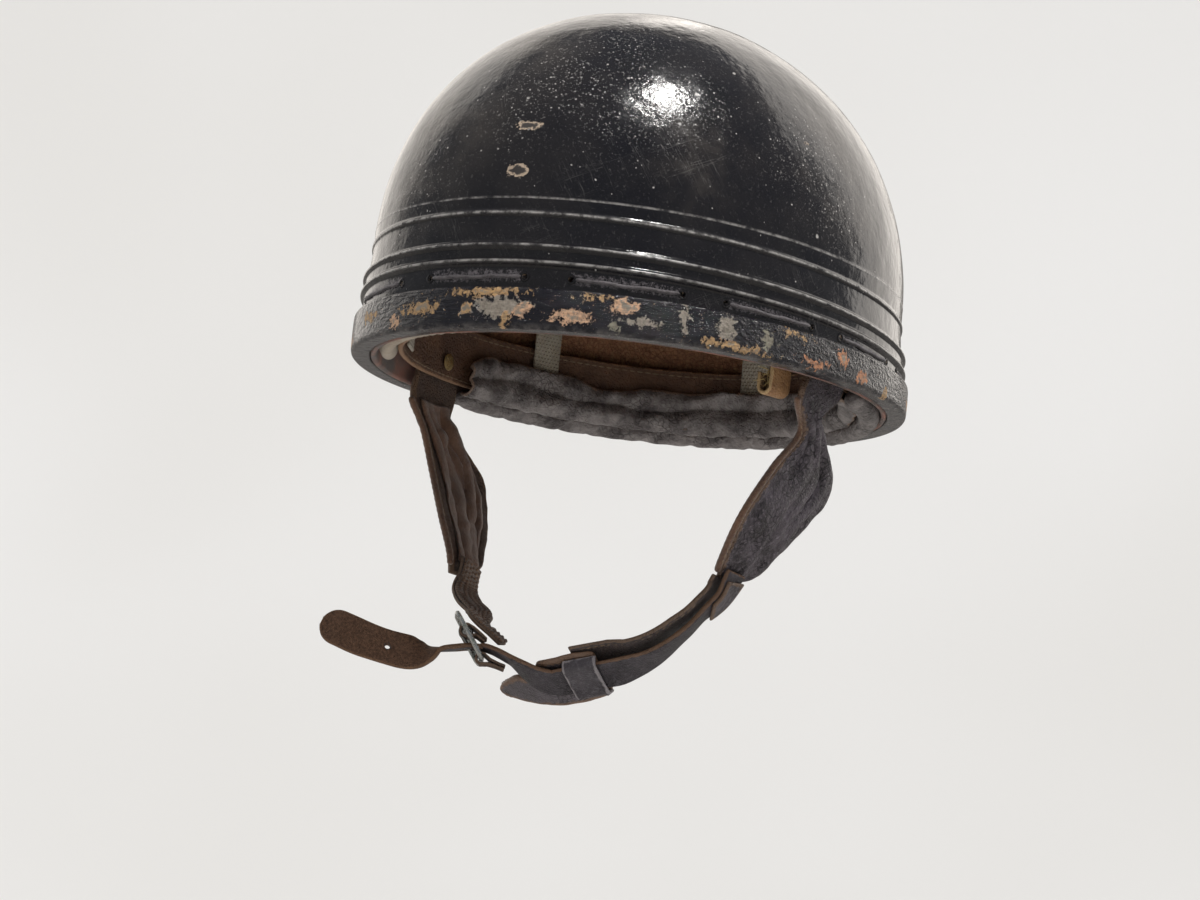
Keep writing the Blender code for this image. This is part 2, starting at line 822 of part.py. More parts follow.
left_front_edge_shares = [
    (1.000, -0.27, 0.150), (0.998, -0.37, 0.040), (0.985, -0.45, -0.055), (0.946, -0.24, -0.155),
    (0.890, -0.44, -0.290), (0.822, -0.625, -0.455), (0.7135, -0.523, -0.588),
    (0.659, -0.417, -0.641),
]
left_rear_edge_shares = [
    (1.000, 0.13, 0.150), (0.998, 0.16, 0.040), (0.985, 0.15, -0.055), (0.942, 0.14, -0.155),
    (0.895, 0.45, -0.290), (0.832, 0.25, -0.430), (0.7187, 0.06, -0.581),
    (0.659, -0.033, -0.641),
]
right_front_edge_shares = [
    (-1.000, -0.27, 0.150), (-0.998, -0.37, 0.040), (-0.985, -0.43, -0.055),
    (-0.946, -0.33, -0.155), (-0.890, -0.30, -0.290), (-0.780, -0.38, -0.455),
    (-0.685, -0.45, -0.590), (-0.662, -0.49, -0.655),
]
right_rear_edge_shares = [
    (-1.000, 0.13, 0.150), (-0.998, 0.16, 0.040), (-0.985, 0.17, -0.055),
    (-0.946, 0.22, -0.155), (-0.900, 0.43, -0.290), (-0.800, 0.30, -0.450),
    (-0.695, 0.02, -0.590), (-0.662, -0.09, -0.655),
]
flap_bulge_shares = [0.0, 0.0, 0.3, 0.8, 1.0, 1.0, 0.6, 0.0]
flap_columns = 8
flap_steps = 3


def flap_surface(front_shares, rear_shares, side):
    # Rows run across the flap from its front edge to its rear edge, bulging outwards.
    front = smooth_route(np.array(front_shares) * harness_reach, flap_steps)
    rear = smooth_route(np.array(rear_shares) * harness_reach, flap_steps)
    bulge = smooth_route(np.array(flap_bulge_shares)[:, None], flap_steps)[:, 0] * flap_bulge
    across = np.linspace(0, 1, flap_columns + 1)[None, :, None]
    surface = front[:, None] * (1 - across) + rear[:, None] * across
    normals = surface_normals(surface, side)
    crown = 4 * across * (1 - across)
    surface = surface + normals * crown * bulge[:, None, None]
    return surface, surface_normals(surface, side)


def surface_normals(surface, side):
    down = np.gradient(surface, axis=0)
    over = np.gradient(surface, axis=1)
    normals = unit(np.cross(down, over))
    flip = np.sign((normals[..., :1] * side).sum(axis=(0, 1), keepdims=True))
    return normals * flip


def make_flap(word, side, front_shares, rear_shares, drill):
    surface, normals = flap_surface(front_shares, rear_shares, side)
    flap = add_piece(word + "_ear_flap", grid_mesh(word + "_ear_flap", surface), grey_leather)
    thicken(flap, flap_thickness)
    cut(flap, drill)
    step = flap_thickness / 2 + seat_gap + flap_lining_thickness / 2
    first_row = 2 * flap_steps
    last_row = 6 * flap_steps + 1
    lining_rows = (surface - normals * step)[first_row:last_row, 1:-1]
    lining = add_piece(word + "_flap_lining", grid_mesh(word + "_flap_lining", lining_rows),
                       brown_suede)
    thicken(lining, flap_lining_thickness)
    edge = surface[first_row:, 0]
    outward = square_edges(edge, edge - surface[first_row:, 1])
    route = edge + outward * (flap_binding_radius + 2 * seat_gap)
    binding = tube_piece(word + "_flap_binding", route[:-2], flap_binding_radius, brown_suede)
    return [flap, lining, binding]


left_pieces = make_flap("left", 1, left_front_edge_shares, left_rear_edge_shares, left_drill)
right_pieces = make_flap("right", -1, right_front_edge_shares, right_rear_edge_shares, right_drill)

# Centre bar of the buckle, and the directions of its own frame
buckle_centre = np.array([-0.357, -0.967, -0.869]) * harness_reach
bar_axis = np.array([-math.sin(buckle_yaw), math.cos(buckle_yaw), 0.0])
level_axis = np.array([math.cos(buckle_yaw), math.sin(buckle_yaw), 0.0])
up_axis = np.array([0.0, 0.0, 1.0])


def at_buckle(level, up, along_bar=0.0):
    return buckle_centre + level_axis * level + up_axis * up + bar_axis * along_bar


# Route of the chin strap: centres, then the direction across it from front to rear edge
strap_route_shares = [
    (0.737, -0.370, -0.619), (0.680, -0.383, -0.696), (0.634, -0.475, -0.755),
    (0.593, -0.542, -0.810), (0.557, -0.592, -0.848), (0.512, -0.642, -0.887),
    (0.463, -0.683, -0.918), (0.407, -0.722, -0.944),
]
strap_straight_start_share = (0.338, -0.767, -0.968)
strap_straight_end_share = (0.078, -0.843, -1.015)
strap_twist_shares = [
    (0.030, -0.878, -1.012), (-0.009, -0.910, -1.002), (-0.054, -0.932, -0.985),
    (-0.109, -0.940, -0.965), (-0.173, -0.915, -0.942),
]
strap_tail_shares = [
    (-0.446, -1.075, -0.934), (-0.482, -1.133, -0.948), (-0.533, -1.208, -0.956),
    (-0.616, -1.300, -0.946), (-0.707, -1.400, -0.927), (-0.797, -1.467, -0.902),
    (-0.879, -1.517, -0.880),
]
strap_edge_shares = [
    (-0.10, 0.97, -0.18), (-0.35, 0.90, -0.29), (-0.483, 0.836, -0.262),
    (-0.457, 0.862, -0.219), (-0.408, 0.888, -0.210), (-0.313, 0.919, -0.241),
    (-0.213, 0.927, -0.310), (-0.128, 0.888, -0.442),
    (-0.023, 0.842, -0.539), (-0.023, 0.842, -0.539), (-0.023, 0.842, -0.539),
    (-0.023, 0.842, -0.539), (-0.451, 0.727, -0.517), (-0.482, 0.764, -0.429),
    (-0.353, 0.853, -0.384), (-0.108, 0.917, -0.383), (0.0, 0.95, -0.30),
    (-0.534, 0.845, 0.0), (-0.534, 0.845, 0.0), (-0.534, 0.845, 0.0),
    (-0.50, 0.84, 0.10), (-0.40, 0.65, 0.55), (-0.15, 0.35, 0.90),
    (0.10, 0.45, 0.90), (0.20, 0.40, 0.90), (0.25, 0.35, 0.90), (0.25, 0.30, 0.90),
]
strap_steps = 2
strap_hole_station = 23
strap_bar_drop = 0.0062
straight_start = np.array(strap_straight_start_share) * harness_reach
straight_end = np.array(strap_straight_end_share) * harness_reach


def strap_stations():
    places = [np.array(share) * harness_reach for share in strap_route_shares]
    for share in (0.0, 1 / 3, 2 / 3, 1.0):
        places.append(straight_start + (straight_end - straight_start) * share)
    places += [np.array(share) * harness_reach for share in strap_twist_shares]
    places.append(at_buckle(1.6 * strap_bar_drop, -1.11 * strap_bar_drop))
    places.append(at_buckle(0.56 * strap_bar_drop, -strap_bar_drop))
    places.append(at_buckle(-0.65 * strap_bar_drop, -1.16 * strap_bar_drop))
    places += [np.array(share) * harness_reach for share in strap_tail_shares]
    return np.array(places)


strap_places = strap_stations()
strap_centres = smooth_route(strap_places, strap_steps)
strap_edges = square_edges(strap_centres, smooth_route(strap_edge_shares, strap_steps))


def strap_frame(index):
    # Place, run, across and outward directions at a row of the strap.
    run = unit(strap_centres[index + 1] - strap_centres[index - 1])
    across = strap_edges[index]
    return strap_centres[index], run, across, unit(np.cross(run, across))


def make_chin_strap():
    # The free end is rounded over its last rows; one oval slot and one hole go through it.
    widths = np.full(len(strap_centres), strap_width / 2)
    from_end = np.linalg.norm(strap_centres - strap_centres[-1], axis=1)
    rounding = strap_width / 2
    for i, distance in enumerate(from_end):
        if i > len(from_end) // 2 and distance < rounding:
            share = 1 - (1 - distance / rounding) ** 2
            widths[i] = strap_width / 2 * max(math.sqrt(share), 0.35)
    strap = ribbon("chin_strap", strap_centres, strap_edges, widths, strap_thickness,
                   grey_leather, columns=2)
    slot_place = at_buckle(0.15 * strap_bar_drop, -strap_bar_drop)
    outline = rounded_rectangle(-strap_slot_length / 2, strap_slot_length / 2,
                                -strap_slot_width / 2, strap_slot_width / 2,
                                strap_slot_width / 2.2)
    slot = flat_piece("strap_slot", [outline], strap_width / 2, slot_place, level_axis, bar_axis,
                      dark_leather)
    cut(strap, as_cutter(slot))
    place, run, across, outward = strap_frame(strap_hole_station * strap_steps)
    reach = outward * (strap_thickness + cut_overrun)
    drill = rod_between("strap_hole", place - reach, place + reach, strap_hole_radius, 10,
                        dark_leather)
    cut(strap, as_cutter(drill))
    return strap


chin_strap = make_chin_strap()


def along_strap(stations, inward, frontward=0.0):
    # Places and edge directions beside the strap at fractions of its stations.
    rows = np.arange(len(strap_centres)) / strap_steps
    runs = unit(np.gradient(strap_centres, axis=0))
    outward = unit(np.cross(runs, strap_edges))
    tables = []
    for values in (strap_centres, strap_edges, outward):
        tables.append(np.array([np.interp(stations, rows, column) for column in values.T]).T)
    centres, edges, outward = tables
    centres = centres - outward * np.asarray(inward)[..., None] - edges * frontward
    return centres, square_edges(centres, edges)


def make_inner_band():
    # The lining band runs inside the strap, stepped towards its front edge, and goes further
    # back behind the plate of the chin pad.
    stations = np.linspace(1.5, 10.0, 18)
    near = strap_thickness / 2 + inner_band_gap + inner_band_thickness / 2
    blend = np.clip(stations - 7, 0, 1)
    centres, edges = along_strap(stations, near + inner_band_set_back * blend, inner_band_step)
    return ribbon("left_inner_band", centres, edges, [strap_width / 2] * len(centres),
                  inner_band_thickness, brown_suede)


left_inner_band = make_inner_band()


def make_strap_tab():
    # A short cover strip outside the upper end of the strap.
    offset = strap_thickness / 2 + seat_gap + strap_tab_thickness / 2
    centres, edges = along_strap(np.linspace(0.3, 1.8, 6), [-offset] * 6)
    return ribbon("left_strap_tab", centres, edges, [strap_tab_width / 2] * len(centres),
                  strap_tab_thickness, grey_leather)


left_strap_tab = make_strap_tab()

# Chin pad on the straight stretch of the strap
pad_run = unit(straight_end - straight_start)
pad_across = unit(strap_edge_shares[9])
pad_across = unit(pad_across - (pad_across @ pad_run) * pad_run)
pad_outward = unit(np.cross(pad_run, pad_across))
pad_place_share = 0.819
pad_origin = straight_start + (straight_end - straight_start) * pad_place_share
pad_station_shares = [
    -0.259, -0.161, -0.054, 0.054, 0.143, 0.205, 0.25, 0.295, 0.375, 0.464, 0.554, 0.643, 0.705,
]
pad_top_shares = [
    -0.729, -0.793, -0.80, -0.743, -0.729, -0.607, -0.107, 0.157, 0.157, 0.25, 0.571, 0.964, 1.286,
]
pad_bottom_shares = [
    1.10, 1.20, 1.271, 1.286, 1.30, 1.314, 1.336, 1.357, 1.407, 1.457, 1.521, 1.586, 1.571,
]
pad_bow_share = 0.673
pad_bow_start_share = 0.107


def make_chin_pad():
    # The plate lies behind the strap and bows back towards its narrow end.
    depth = strap_thickness / 2 + pad_clearance + pad_thickness / 2
    stations = smooth_route(np.array(pad_station_shares)[:, None] * pad_length, 2)[:, 0]
    tops = smooth_route(np.array(pad_top_shares)[:, None] * pad_half_height, 2)[:, 0]
    bottoms = smooth_route(np.array(pad_bottom_shares)[:, None] * pad_half_height, 2)[:, 0]
    rows = []
    for station, top, bottom in zip(stations, tops, bottoms):
        past = max(station / pad_length - pad_bow_start_share, 0.0)
        bow = pad_bow_share * pad_length * past**1.5
        row = []
        for share in np.linspace(0, 1, 5):
            point = pad_origin + pad_run * station + pad_across * (top + (bottom - top) * share)
            row.append(point - pad_outward * (depth + bow))
        rows.append(row)
    pad = thicken(add_piece("chin_pad", grid_mesh("chin_pad", rows), grey_leather), pad_thickness)
    half = strap_width / 2 + loop_clearance
    base = seat_gap - strap_thickness / 2 - pad_clearance
    top = strap_thickness / 2 + loop_lift
    front_foot = half + loop_lean / 8
    arch = [
        (-front_foot, base), (-half, top), (half, top), (half + loop_lean, base),
        (half + 1.67 * loop_lean, base), (half + loop_lean / 5, top + loop_thickness),
        (-half - loop_thickness, top + loop_thickness), (-front_foot - loop_thickness, base),
    ]
    loop = flat_piece("chin_pad_loop", [arch], loop_length, pad_origin - pad_run * loop_set_back,
                      pad_across, pad_outward, dark_leather)
    return [pad, loop]


pad_pieces = make_chin_pad()


# Route of the right side band down to the buckle, then in lengths of the chape from its bar
side_band_shares = [
    (-0.628, -0.295, -0.612), (-0.613, -0.365, -0.693), (-0.543, -0.504, -0.744),
    (-0.421, -0.661, -0.792),
]
side_band_end_shares = [(0.056, 0.278, 0.022), (0.889, 0.089, 0.0), (1.667, 0.0, 0.0)]
side_band_edge_shares = [
    (0.0, 1.0, 0.0), (0.0, 1.0, 0.0), (0.10, 0.97, 0.0), (0.0, 0.97, 0.10),
]


def make_right_band():
    # The right side band: suede outside, ribbed webbing inside, ending behind the buckle.
    chape_run = level_axis * math.cos(chape_angle) + up_axis * math.sin(chape_angle)
    chape_up = -level_axis * math.sin(chape_angle) + up_axis * math.cos(chape_angle)
    off = chape_band_distance + side_band_thickness / 2
    places = [np.array(share) * harness_reach for share in side_band_shares]
    for along, sideways, lift in side_band_end_shares:
        step = chape_run * along * chape_length + chape_up * (off + lift * chape_length)
        places.append(buckle_centre + step + bar_axis * sideways * chape_length)
    end_edge = bar_axis * math.cos(side_band_tilt) + chape_up * math.sin(side_band_tilt)
    edges = side_band_edge_shares + [end_edge, end_edge, end_edge]
    centres = smooth_route(places, 4)
    edges = square_edges(centres, smooth_route(edges, 4))
    return ribbon("right_side_band", centres, edges, [side_band_width / 2] * len(centres),
                  side_band_thickness, brown_suede)


right_side_band = make_right_band()


def make_buckle():
    # A frame with a centre bar, the leather chape round the bar, and a tongue beside it.
    length_axis = level_axis * math.cos(buckle_pitch) - up_axis * math.sin(buckle_pitch)
    half_bar = centre_bar_width / 2
    inner_half = buckle_half_width - buckle_wire
    lower_end = buckle_lower_reach - buckle_wire
    outer = rounded_rectangle(-buckle_upper_reach, buckle_lower_reach,
                              -buckle_half_width, buckle_half_width, buckle_corner, 4)
    upper = rounded_rectangle(-buckle_upper_reach + buckle_wire, -half_bar,
                              -inner_half, inner_half, half_bar / 2, 2)
    lower = rounded_rectangle(half_bar, lower_end, -inner_half, inner_half, half_bar / 2, 2)
    frame = flat_piece("buckle_frame", [outer, upper, lower], buckle_thickness, buckle_centre,
                       length_axis, bar_axis, chrome)
    bar_reach = math.hypot(half_bar, buckle_thickness / 2)
    eye = bar_reach + bar_clearance

    chape_run = level_axis * math.cos(chape_angle) + up_axis * math.sin(chape_angle)
    chape_up = -level_axis * math.sin(chape_angle) + up_axis * math.cos(chape_angle)
    chape_outer = eye + chape_thickness
    top = chape_outer * 1.03
    start = math.asin(0.98)
    outline = []
    for i in range(13):
        angle = start + (math.tau - 2 * start + math.pi / 2 * 0.7) * i / 12
        outline.append((chape_outer * math.cos(angle), chape_outer * math.sin(angle)))
    outline += [(chape_length, top - chape_thickness), (chape_length, top), (chape_outer, top)]
    chape = flat_piece("buckle_chape", [outline, circle(eye, 12)], 2 * chape_half_width,
                       buckle_centre, chape_run, chape_up, dark_leather)
    slot_half = tongue_slot / 2
    low = at_buckle(0, 0)
    slot_outline = rounded_rectangle(-2 * chape_outer, chape_outer * 0.98, -2 * chape_outer,
                                     2 * chape_outer, half_bar)
    slot = flat_piece("chape_slot", [slot_outline], 2 * slot_half, low, chape_run, chape_up,
                      dark_leather)
    cut(chape, as_cutter(slot))

    outward = -np.cross(length_axis, bar_axis)
    low_edge = buckle_thickness / 2 + seat_gap
    high_edge = low_edge + tongue_thickness
    tip = buckle_lower_reach + buckle_wire / 3
    begin = math.asin(low_edge / high_edge)
    tongue_outline = [(tip, low_edge), (tip + tongue_thickness / 3, (low_edge + high_edge) / 2),
                      (tip - tongue_thickness / 3, high_edge)]
    for i in range(15):
        angle = math.pi / 2 + (1.5 * math.pi + begin) * i / 14
        tongue_outline.append((high_edge * math.cos(angle), high_edge * math.sin(angle)))
    tongue = flat_piece("buckle_tongue", [tongue_outline, circle(eye, 12)], tongue_width,
                        buckle_centre, length_axis, outward, chrome)

    end_centre = buckle_centre + length_axis * (buckle_lower_reach - buckle_wire / 2)
    end_eye = math.hypot(buckle_wire, buckle_thickness) / 2 + seat_gap / 2
    end_outer = end_eye + end_tab_thickness
    tab_run = level_axis * math.cos(end_tab_angle) + up_axis * math.sin(end_tab_angle)
    tab_up = -level_axis * math.sin(end_tab_angle) + up_axis * math.cos(end_tab_angle)
    ring = []
    for i in range(13):
        angle = math.pi / 4 + math.pi * 1.5 * i / 12
        ring.append((end_outer * math.cos(angle), end_outer * math.sin(angle)))
    ring += [(end_tab_length, -end_outer * 0.62), (end_tab_length, end_outer * 0.3)]
    end_tab = flat_piece("buckle_end_tab", [ring, circle(end_eye, 10)],
                         2 * (chape_half_width - seat_gap), end_centre, tab_run, tab_up,
                         dark_leather)
    gap = rounded_rectangle(-2 * end_outer, end_outer, -2 * end_outer, 2 * end_outer, half_bar)
    tab_slot = flat_piece("end_tab_slot", [gap], tongue_slot, end_centre, tab_run, tab_up,
                          dark_leather)
    cut(end_tab, as_cutter(tab_slot))
    return frame, chape, tongue, end_tab


buckle_frame, buckle_chape, buckle_tongue, buckle_end_tab = make_buckle()


def pivot_empty(name, place, parent=None):
    empty = bpy.data.objects.new(name, None)
    parts.objects.link(empty)
    empty.location = Vector(place)
    bpy.context.view_layer.update()
    hang(parent, [empty])
    return empty


def hang(parent, pieces):
    if parent is None:
        return
    bpy.context.view_layer.update()
    for piece in pieces:
        place = piece.matrix_world.copy()
        piece.parent = parent
        piece.matrix_parent_inverse = parent.matrix_world.inverted()
        piece.matrix_world = place


# What moves together hangs on an empty at its pivot
left_swing = pivot_empty("left_flap_swing", pivot)
right_swing = pivot_empty("right_flap_swing", pivot)
pad_slide = pivot_empty("chin_pad_slide", pad_origin, left_swing)
buckle_swing = pivot_empty("buckle_swing", buckle_centre, right_swing)
tongue_swing = pivot_empty("tongue_swing", buckle_centre, buckle_swing)
hang(left_swing, left_pieces + [chin_strap, left_inner_band, left_strap_tab])
hang(right_swing, right_pieces + [right_side_band, buckle_chape])
hang(pad_slide, pad_pieces)
hang(buckle_swing, [buckle_frame, buckle_end_tab])
hang(tongue_swing, [buckle_tongue])

for piece in parts.objects:
    if piece.type == "MESH":
        piece.data.shade_smooth()
        piece.data.set_sharp_from_angle(angle=math.radians(35))
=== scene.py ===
# Half-shell helmet with leather ear flaps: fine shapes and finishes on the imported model.
from functools import partial
from math import acos, cos, hypot, pi, radians, sin, tau

import bpy
import numpy as np
from mathutils import Matrix, Vector


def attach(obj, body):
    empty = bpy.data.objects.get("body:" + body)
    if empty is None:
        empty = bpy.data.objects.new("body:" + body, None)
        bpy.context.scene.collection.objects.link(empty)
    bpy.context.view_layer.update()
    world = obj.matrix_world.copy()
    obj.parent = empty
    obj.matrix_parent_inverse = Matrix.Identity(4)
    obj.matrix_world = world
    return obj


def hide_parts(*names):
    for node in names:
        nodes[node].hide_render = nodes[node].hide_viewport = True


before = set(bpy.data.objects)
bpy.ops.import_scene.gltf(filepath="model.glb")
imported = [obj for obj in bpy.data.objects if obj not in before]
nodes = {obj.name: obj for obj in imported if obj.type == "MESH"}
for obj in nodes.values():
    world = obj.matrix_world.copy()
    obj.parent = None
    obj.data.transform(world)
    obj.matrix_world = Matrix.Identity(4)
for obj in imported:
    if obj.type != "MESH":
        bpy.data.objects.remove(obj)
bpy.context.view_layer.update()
print("frame loaded:", len(nodes), "nodes")

# ---- camera, light and room
cameraSet = dict(azimuth=30.0, elevation=-9.4, roll=5.4, distance=1.44, lens=100.0, sensor=36.0,
                 imageWidth=1200.0, middleX=30.5, middleY=-58.7)
roomSet = dict(floorHeight=-0.36, depth=2.2, width=7.0, bend=0.9, front=-2.6, wallHeight=3.6,
               colour=(0.82, 0.805, 0.78), backdrop=(0.875, 0.865, 0.85),
               mirrored=(0.30, 0.285, 0.27), glow=0.75)


upAxis = np.array([0.0, 0.0, 1.0])


def unit(vectors):
    vectors = np.asarray(vectors, float)
    return vectors / np.maximum(np.linalg.norm(vectors, axis=-1, keepdims=True), 1e-12)


def placeCamera(s):
    turn, lift, roll = (radians(s[k]) for k in ("azimuth", "elevation", "roll"))
    back = np.array([sin(turn) * cos(lift), -cos(turn) * cos(lift),
                     sin(lift)])
    right = np.array([cos(turn), sin(turn), 0.0])
    up = np.cross(back, right)
    across = right * cos(roll) + up * sin(roll)
    upright = -right * sin(roll) + up * cos(roll)
    focal = s["lens"] / s["sensor"] * s["imageWidth"]
    # the lens looks at the middle of the picture, beside the origin of the helmet
    look = unit(-back - across * s["middleX"] / focal + upright * s["middleY"] / focal)
    newAcross = unit(across - look * (across @ look))
    axes = np.column_stack([newAcross, np.cross(-look, newAcross), -look])
    data = bpy.data.cameras.new("photoCamera")
    data.lens, data.sensor_width, data.clip_start = s["lens"], s["sensor"], 0.01
    camera = bpy.data.objects.new("photoCamera", data)
    bpy.context.scene.collection.objects.link(camera)
    place = Matrix([list(row) for row in axes]).to_4x4()
    place.translation = Vector(back * s["distance"])
    camera.matrix_world = place
    bpy.context.scene.camera = camera


placeCamera(cameraSet)

# ---- meshes from grids


def linkPiece(name, mesh, material):
    piece = bpy.data.objects.new(name, mesh)
    bpy.context.scene.collection.objects.link(piece)
    if material:
        mesh.materials.append(material)
    return piece


def pieceMesh(name, points, faces, sizes, uv=None, marks=None, material=None):
    # points (n, 3); faces as one run of corners with the size of each face; uv one pair a corner
    corners, runs = np.asarray(faces).ravel(), np.asarray(sizes)
    mesh = bpy.data.meshes.new(name)
    mesh.vertices.add(len(points))
    mesh.vertices.foreach_set("co", np.asarray(points, np.float32).ravel())
    mesh.loops.add(len(corners))
    mesh.loops.foreach_set("vertex_index", corners.astype(np.int32))
    mesh.polygons.add(len(runs))
    starts = np.concatenate([[0], np.cumsum(runs)[:-1]])
    mesh.polygons.foreach_set("loop_start", starts.astype(np.int32))
    mesh.update(calc_edges=True)
    mesh.polygons.foreach_set("use_smooth", np.ones(len(runs), bool))
    if uv is not None:
        layer = mesh.uv_layers.new(name="UVMap")
        layer.data.foreach_set("uv", np.asarray(uv, np.float32).ravel())
    for label, values in (marks or {}).items():
        layer = mesh.attributes.new(label, "FLOAT", "POINT")
        layer.data.foreach_set("value", np.asarray(values, np.float32).ravel())
    mesh.validate()
    mesh.update()
    return linkPiece(name, mesh, material)


def volumeSign(points, corners, sizes):
    # sign of the sum of p0 . (p1 x p2) over the faces, fanned from their first corners
    starts = np.concatenate([[0], np.cumsum(sizes)[:-1]])
    centre = points.mean(0)
    total = 0.0
    for step in (1, 2):
        keep = sizes > step + 1
        a, b, c = (points[corners[starts[keep] + k]] - centre for k in (0, step, step + 1))
        total += np.einsum("ij,ij->", a, np.cross(b, c))
    return np.sign(total) or 1.0


def indexGrid(rows, columns, closeRows=0, closeColumns=0):
    # the first row or column of point numbers comes again where the grid is closed
    index = np.arange(rows * columns).reshape(rows, columns)
    return np.pad(index, ((0, closeRows), (0, closeColumns)), "wrap")


def quadsOf(i):
    return np.stack([i[:-1, :-1], i[:-1, 1:], i[1:, 1:], i[1:, :-1]], -1).reshape(-1, 4)


def turnedOver(sizes):
    # the order of corners that turns every face over
    return np.repeat(2 * np.cumsum(sizes) - sizes - 1, sizes) - np.arange(sizes.sum())


def gridPiece(name, points, closeRows=False, capStart=None, capEnd=None, marks=None,
              material=None):
    # A surface P(row, column) as quads whose columns close into rings, with poles at its first
    # and last row where given.
    points = np.asarray(points, float)
    index = indexGrid(*points.shape[:2], closeRows, 1)
    uv = gridRuns(points)
    uvIndex = indexGrid(*uv.shape[:2], closeRows)
    faces, uvFaces = quadsOf(index).ravel(), quadsOf(uvIndex).ravel()
    sizes = np.full(len(faces) // 4, 4)
    flat = points.reshape(-1, 3)
    uvFlat = uv.reshape(-1, 2)
    allMarks = {k: np.asarray(v, float).ravel() for k, v in (marks or {}).items()}
    for cap, row, way in ((capStart, 0, -1), (capEnd, -1, 1)):
        if cap is None:
            continue
        ring, uvRing = index[row], uvIndex[row]
        fans = [np.stack([*(r[:-1], r[1:])[::way], np.full(len(r) - 1, pole)], -1)
                for r, pole in ((ring, len(flat)), (uvRing, len(uvFlat)))]
        flat = np.vstack([flat, np.asarray(cap, float)[None]])
        uvFlat = np.vstack([uvFlat, uvFlat[uvRing].mean(0)[None]])
        allMarks = {k: np.append(v, v[ring].mean()) for k, v in allMarks.items()}
        faces, uvFaces = np.append(faces, fans[0]), np.append(uvFaces, fans[1])
        sizes = np.append(sizes, np.full(len(fans[0]), 3))
    if volumeSign(flat, faces, sizes) < 0:
        order = turnedOver(sizes)
        faces, uvFaces = faces[order], uvFaces[order]
    return pieceMesh(name, flat, faces, sizes, uvFlat[uvFaces], allMarks, material)


def gridRuns(points):
    # u = run along the columns of the middle row, v = run down the rows, both in metres
    points = np.pad(points, ((0, 0), (0, 1), (0, 0)), "wrap")
    steps = np.linalg.norm(np.diff(points, axis=0), axis=2).mean(1)
    v = np.concatenate([[0], np.cumsum(steps)])
    return np.stack(np.meshgrid(pathRuns(points[points.shape[0] // 2]), v), -1)


def copiedSolid(name, points, groups, marks=None, material=None):
    # one solid at many places: points (copies, each, 3), its faces as groups of one size
    offset = (np.arange(len(points)) * points.shape[1])[:, None, None]
    faces, one = (np.concatenate([(g + k).ravel() for g in groups]) for k in (offset, 0))
    sizes, oneSizes = (np.concatenate([np.full(k * len(g), g.shape[1]) for g in groups])
                       for k in (len(points), 1))
    if volumeSign(points[0], one, oneSizes) < 0:
        faces = faces[turnedOver(sizes)]
    return pieceMesh(name, points.reshape(-1, 3), faces, sizes, None, marks, material)


def pathRuns(points):
    return np.concatenate([[0], np.cumsum(np.linalg.norm(np.diff(points, axis=0), axis=1))])


def rounded(away, reach):
    # quarter circle: 0 at the border, 1 from its reach on
    return np.sqrt(1 - (1 - np.clip(away / reach, 0, 1)) ** 2)


def squareTo(vectors, runs):
    # the part of the vectors at right angles to the unit runs
    return unit(vectors - (vectors * runs).sum(-1, keepdims=True) * runs)


def circleIn(first, second, sides):
    # unit circles in the planes of two directions
    turn = (np.arange(sides) / sides * tau)[:, None]
    return first[..., None, :] * np.cos(turn) + second[..., None, :] * np.sin(turn)


def interpRows(at, runs, table):
    return np.array([np.interp(at, runs, column) for column in table.T]).T


def surfaceNormals(surface, outward):
    normals = unit(np.cross(np.gradient(surface, axis=0), np.gradient(surface, axis=1)))
    return normals * (np.sign((normals * outward).sum()) or 1.0)


def crowded(length, rounding, step):
    # shares of a length, close together within the rounding at both ends
    turn = np.linspace(0, pi / 2, 5)
    start = rounding * (1 - np.cos(turn))
    middle = np.linspace(rounding, length - rounding,
                         max(2, int((length - 2 * rounding) / step) + 1))[1:-1]
    return np.concatenate([start, middle, length - start[::-1]]) / length


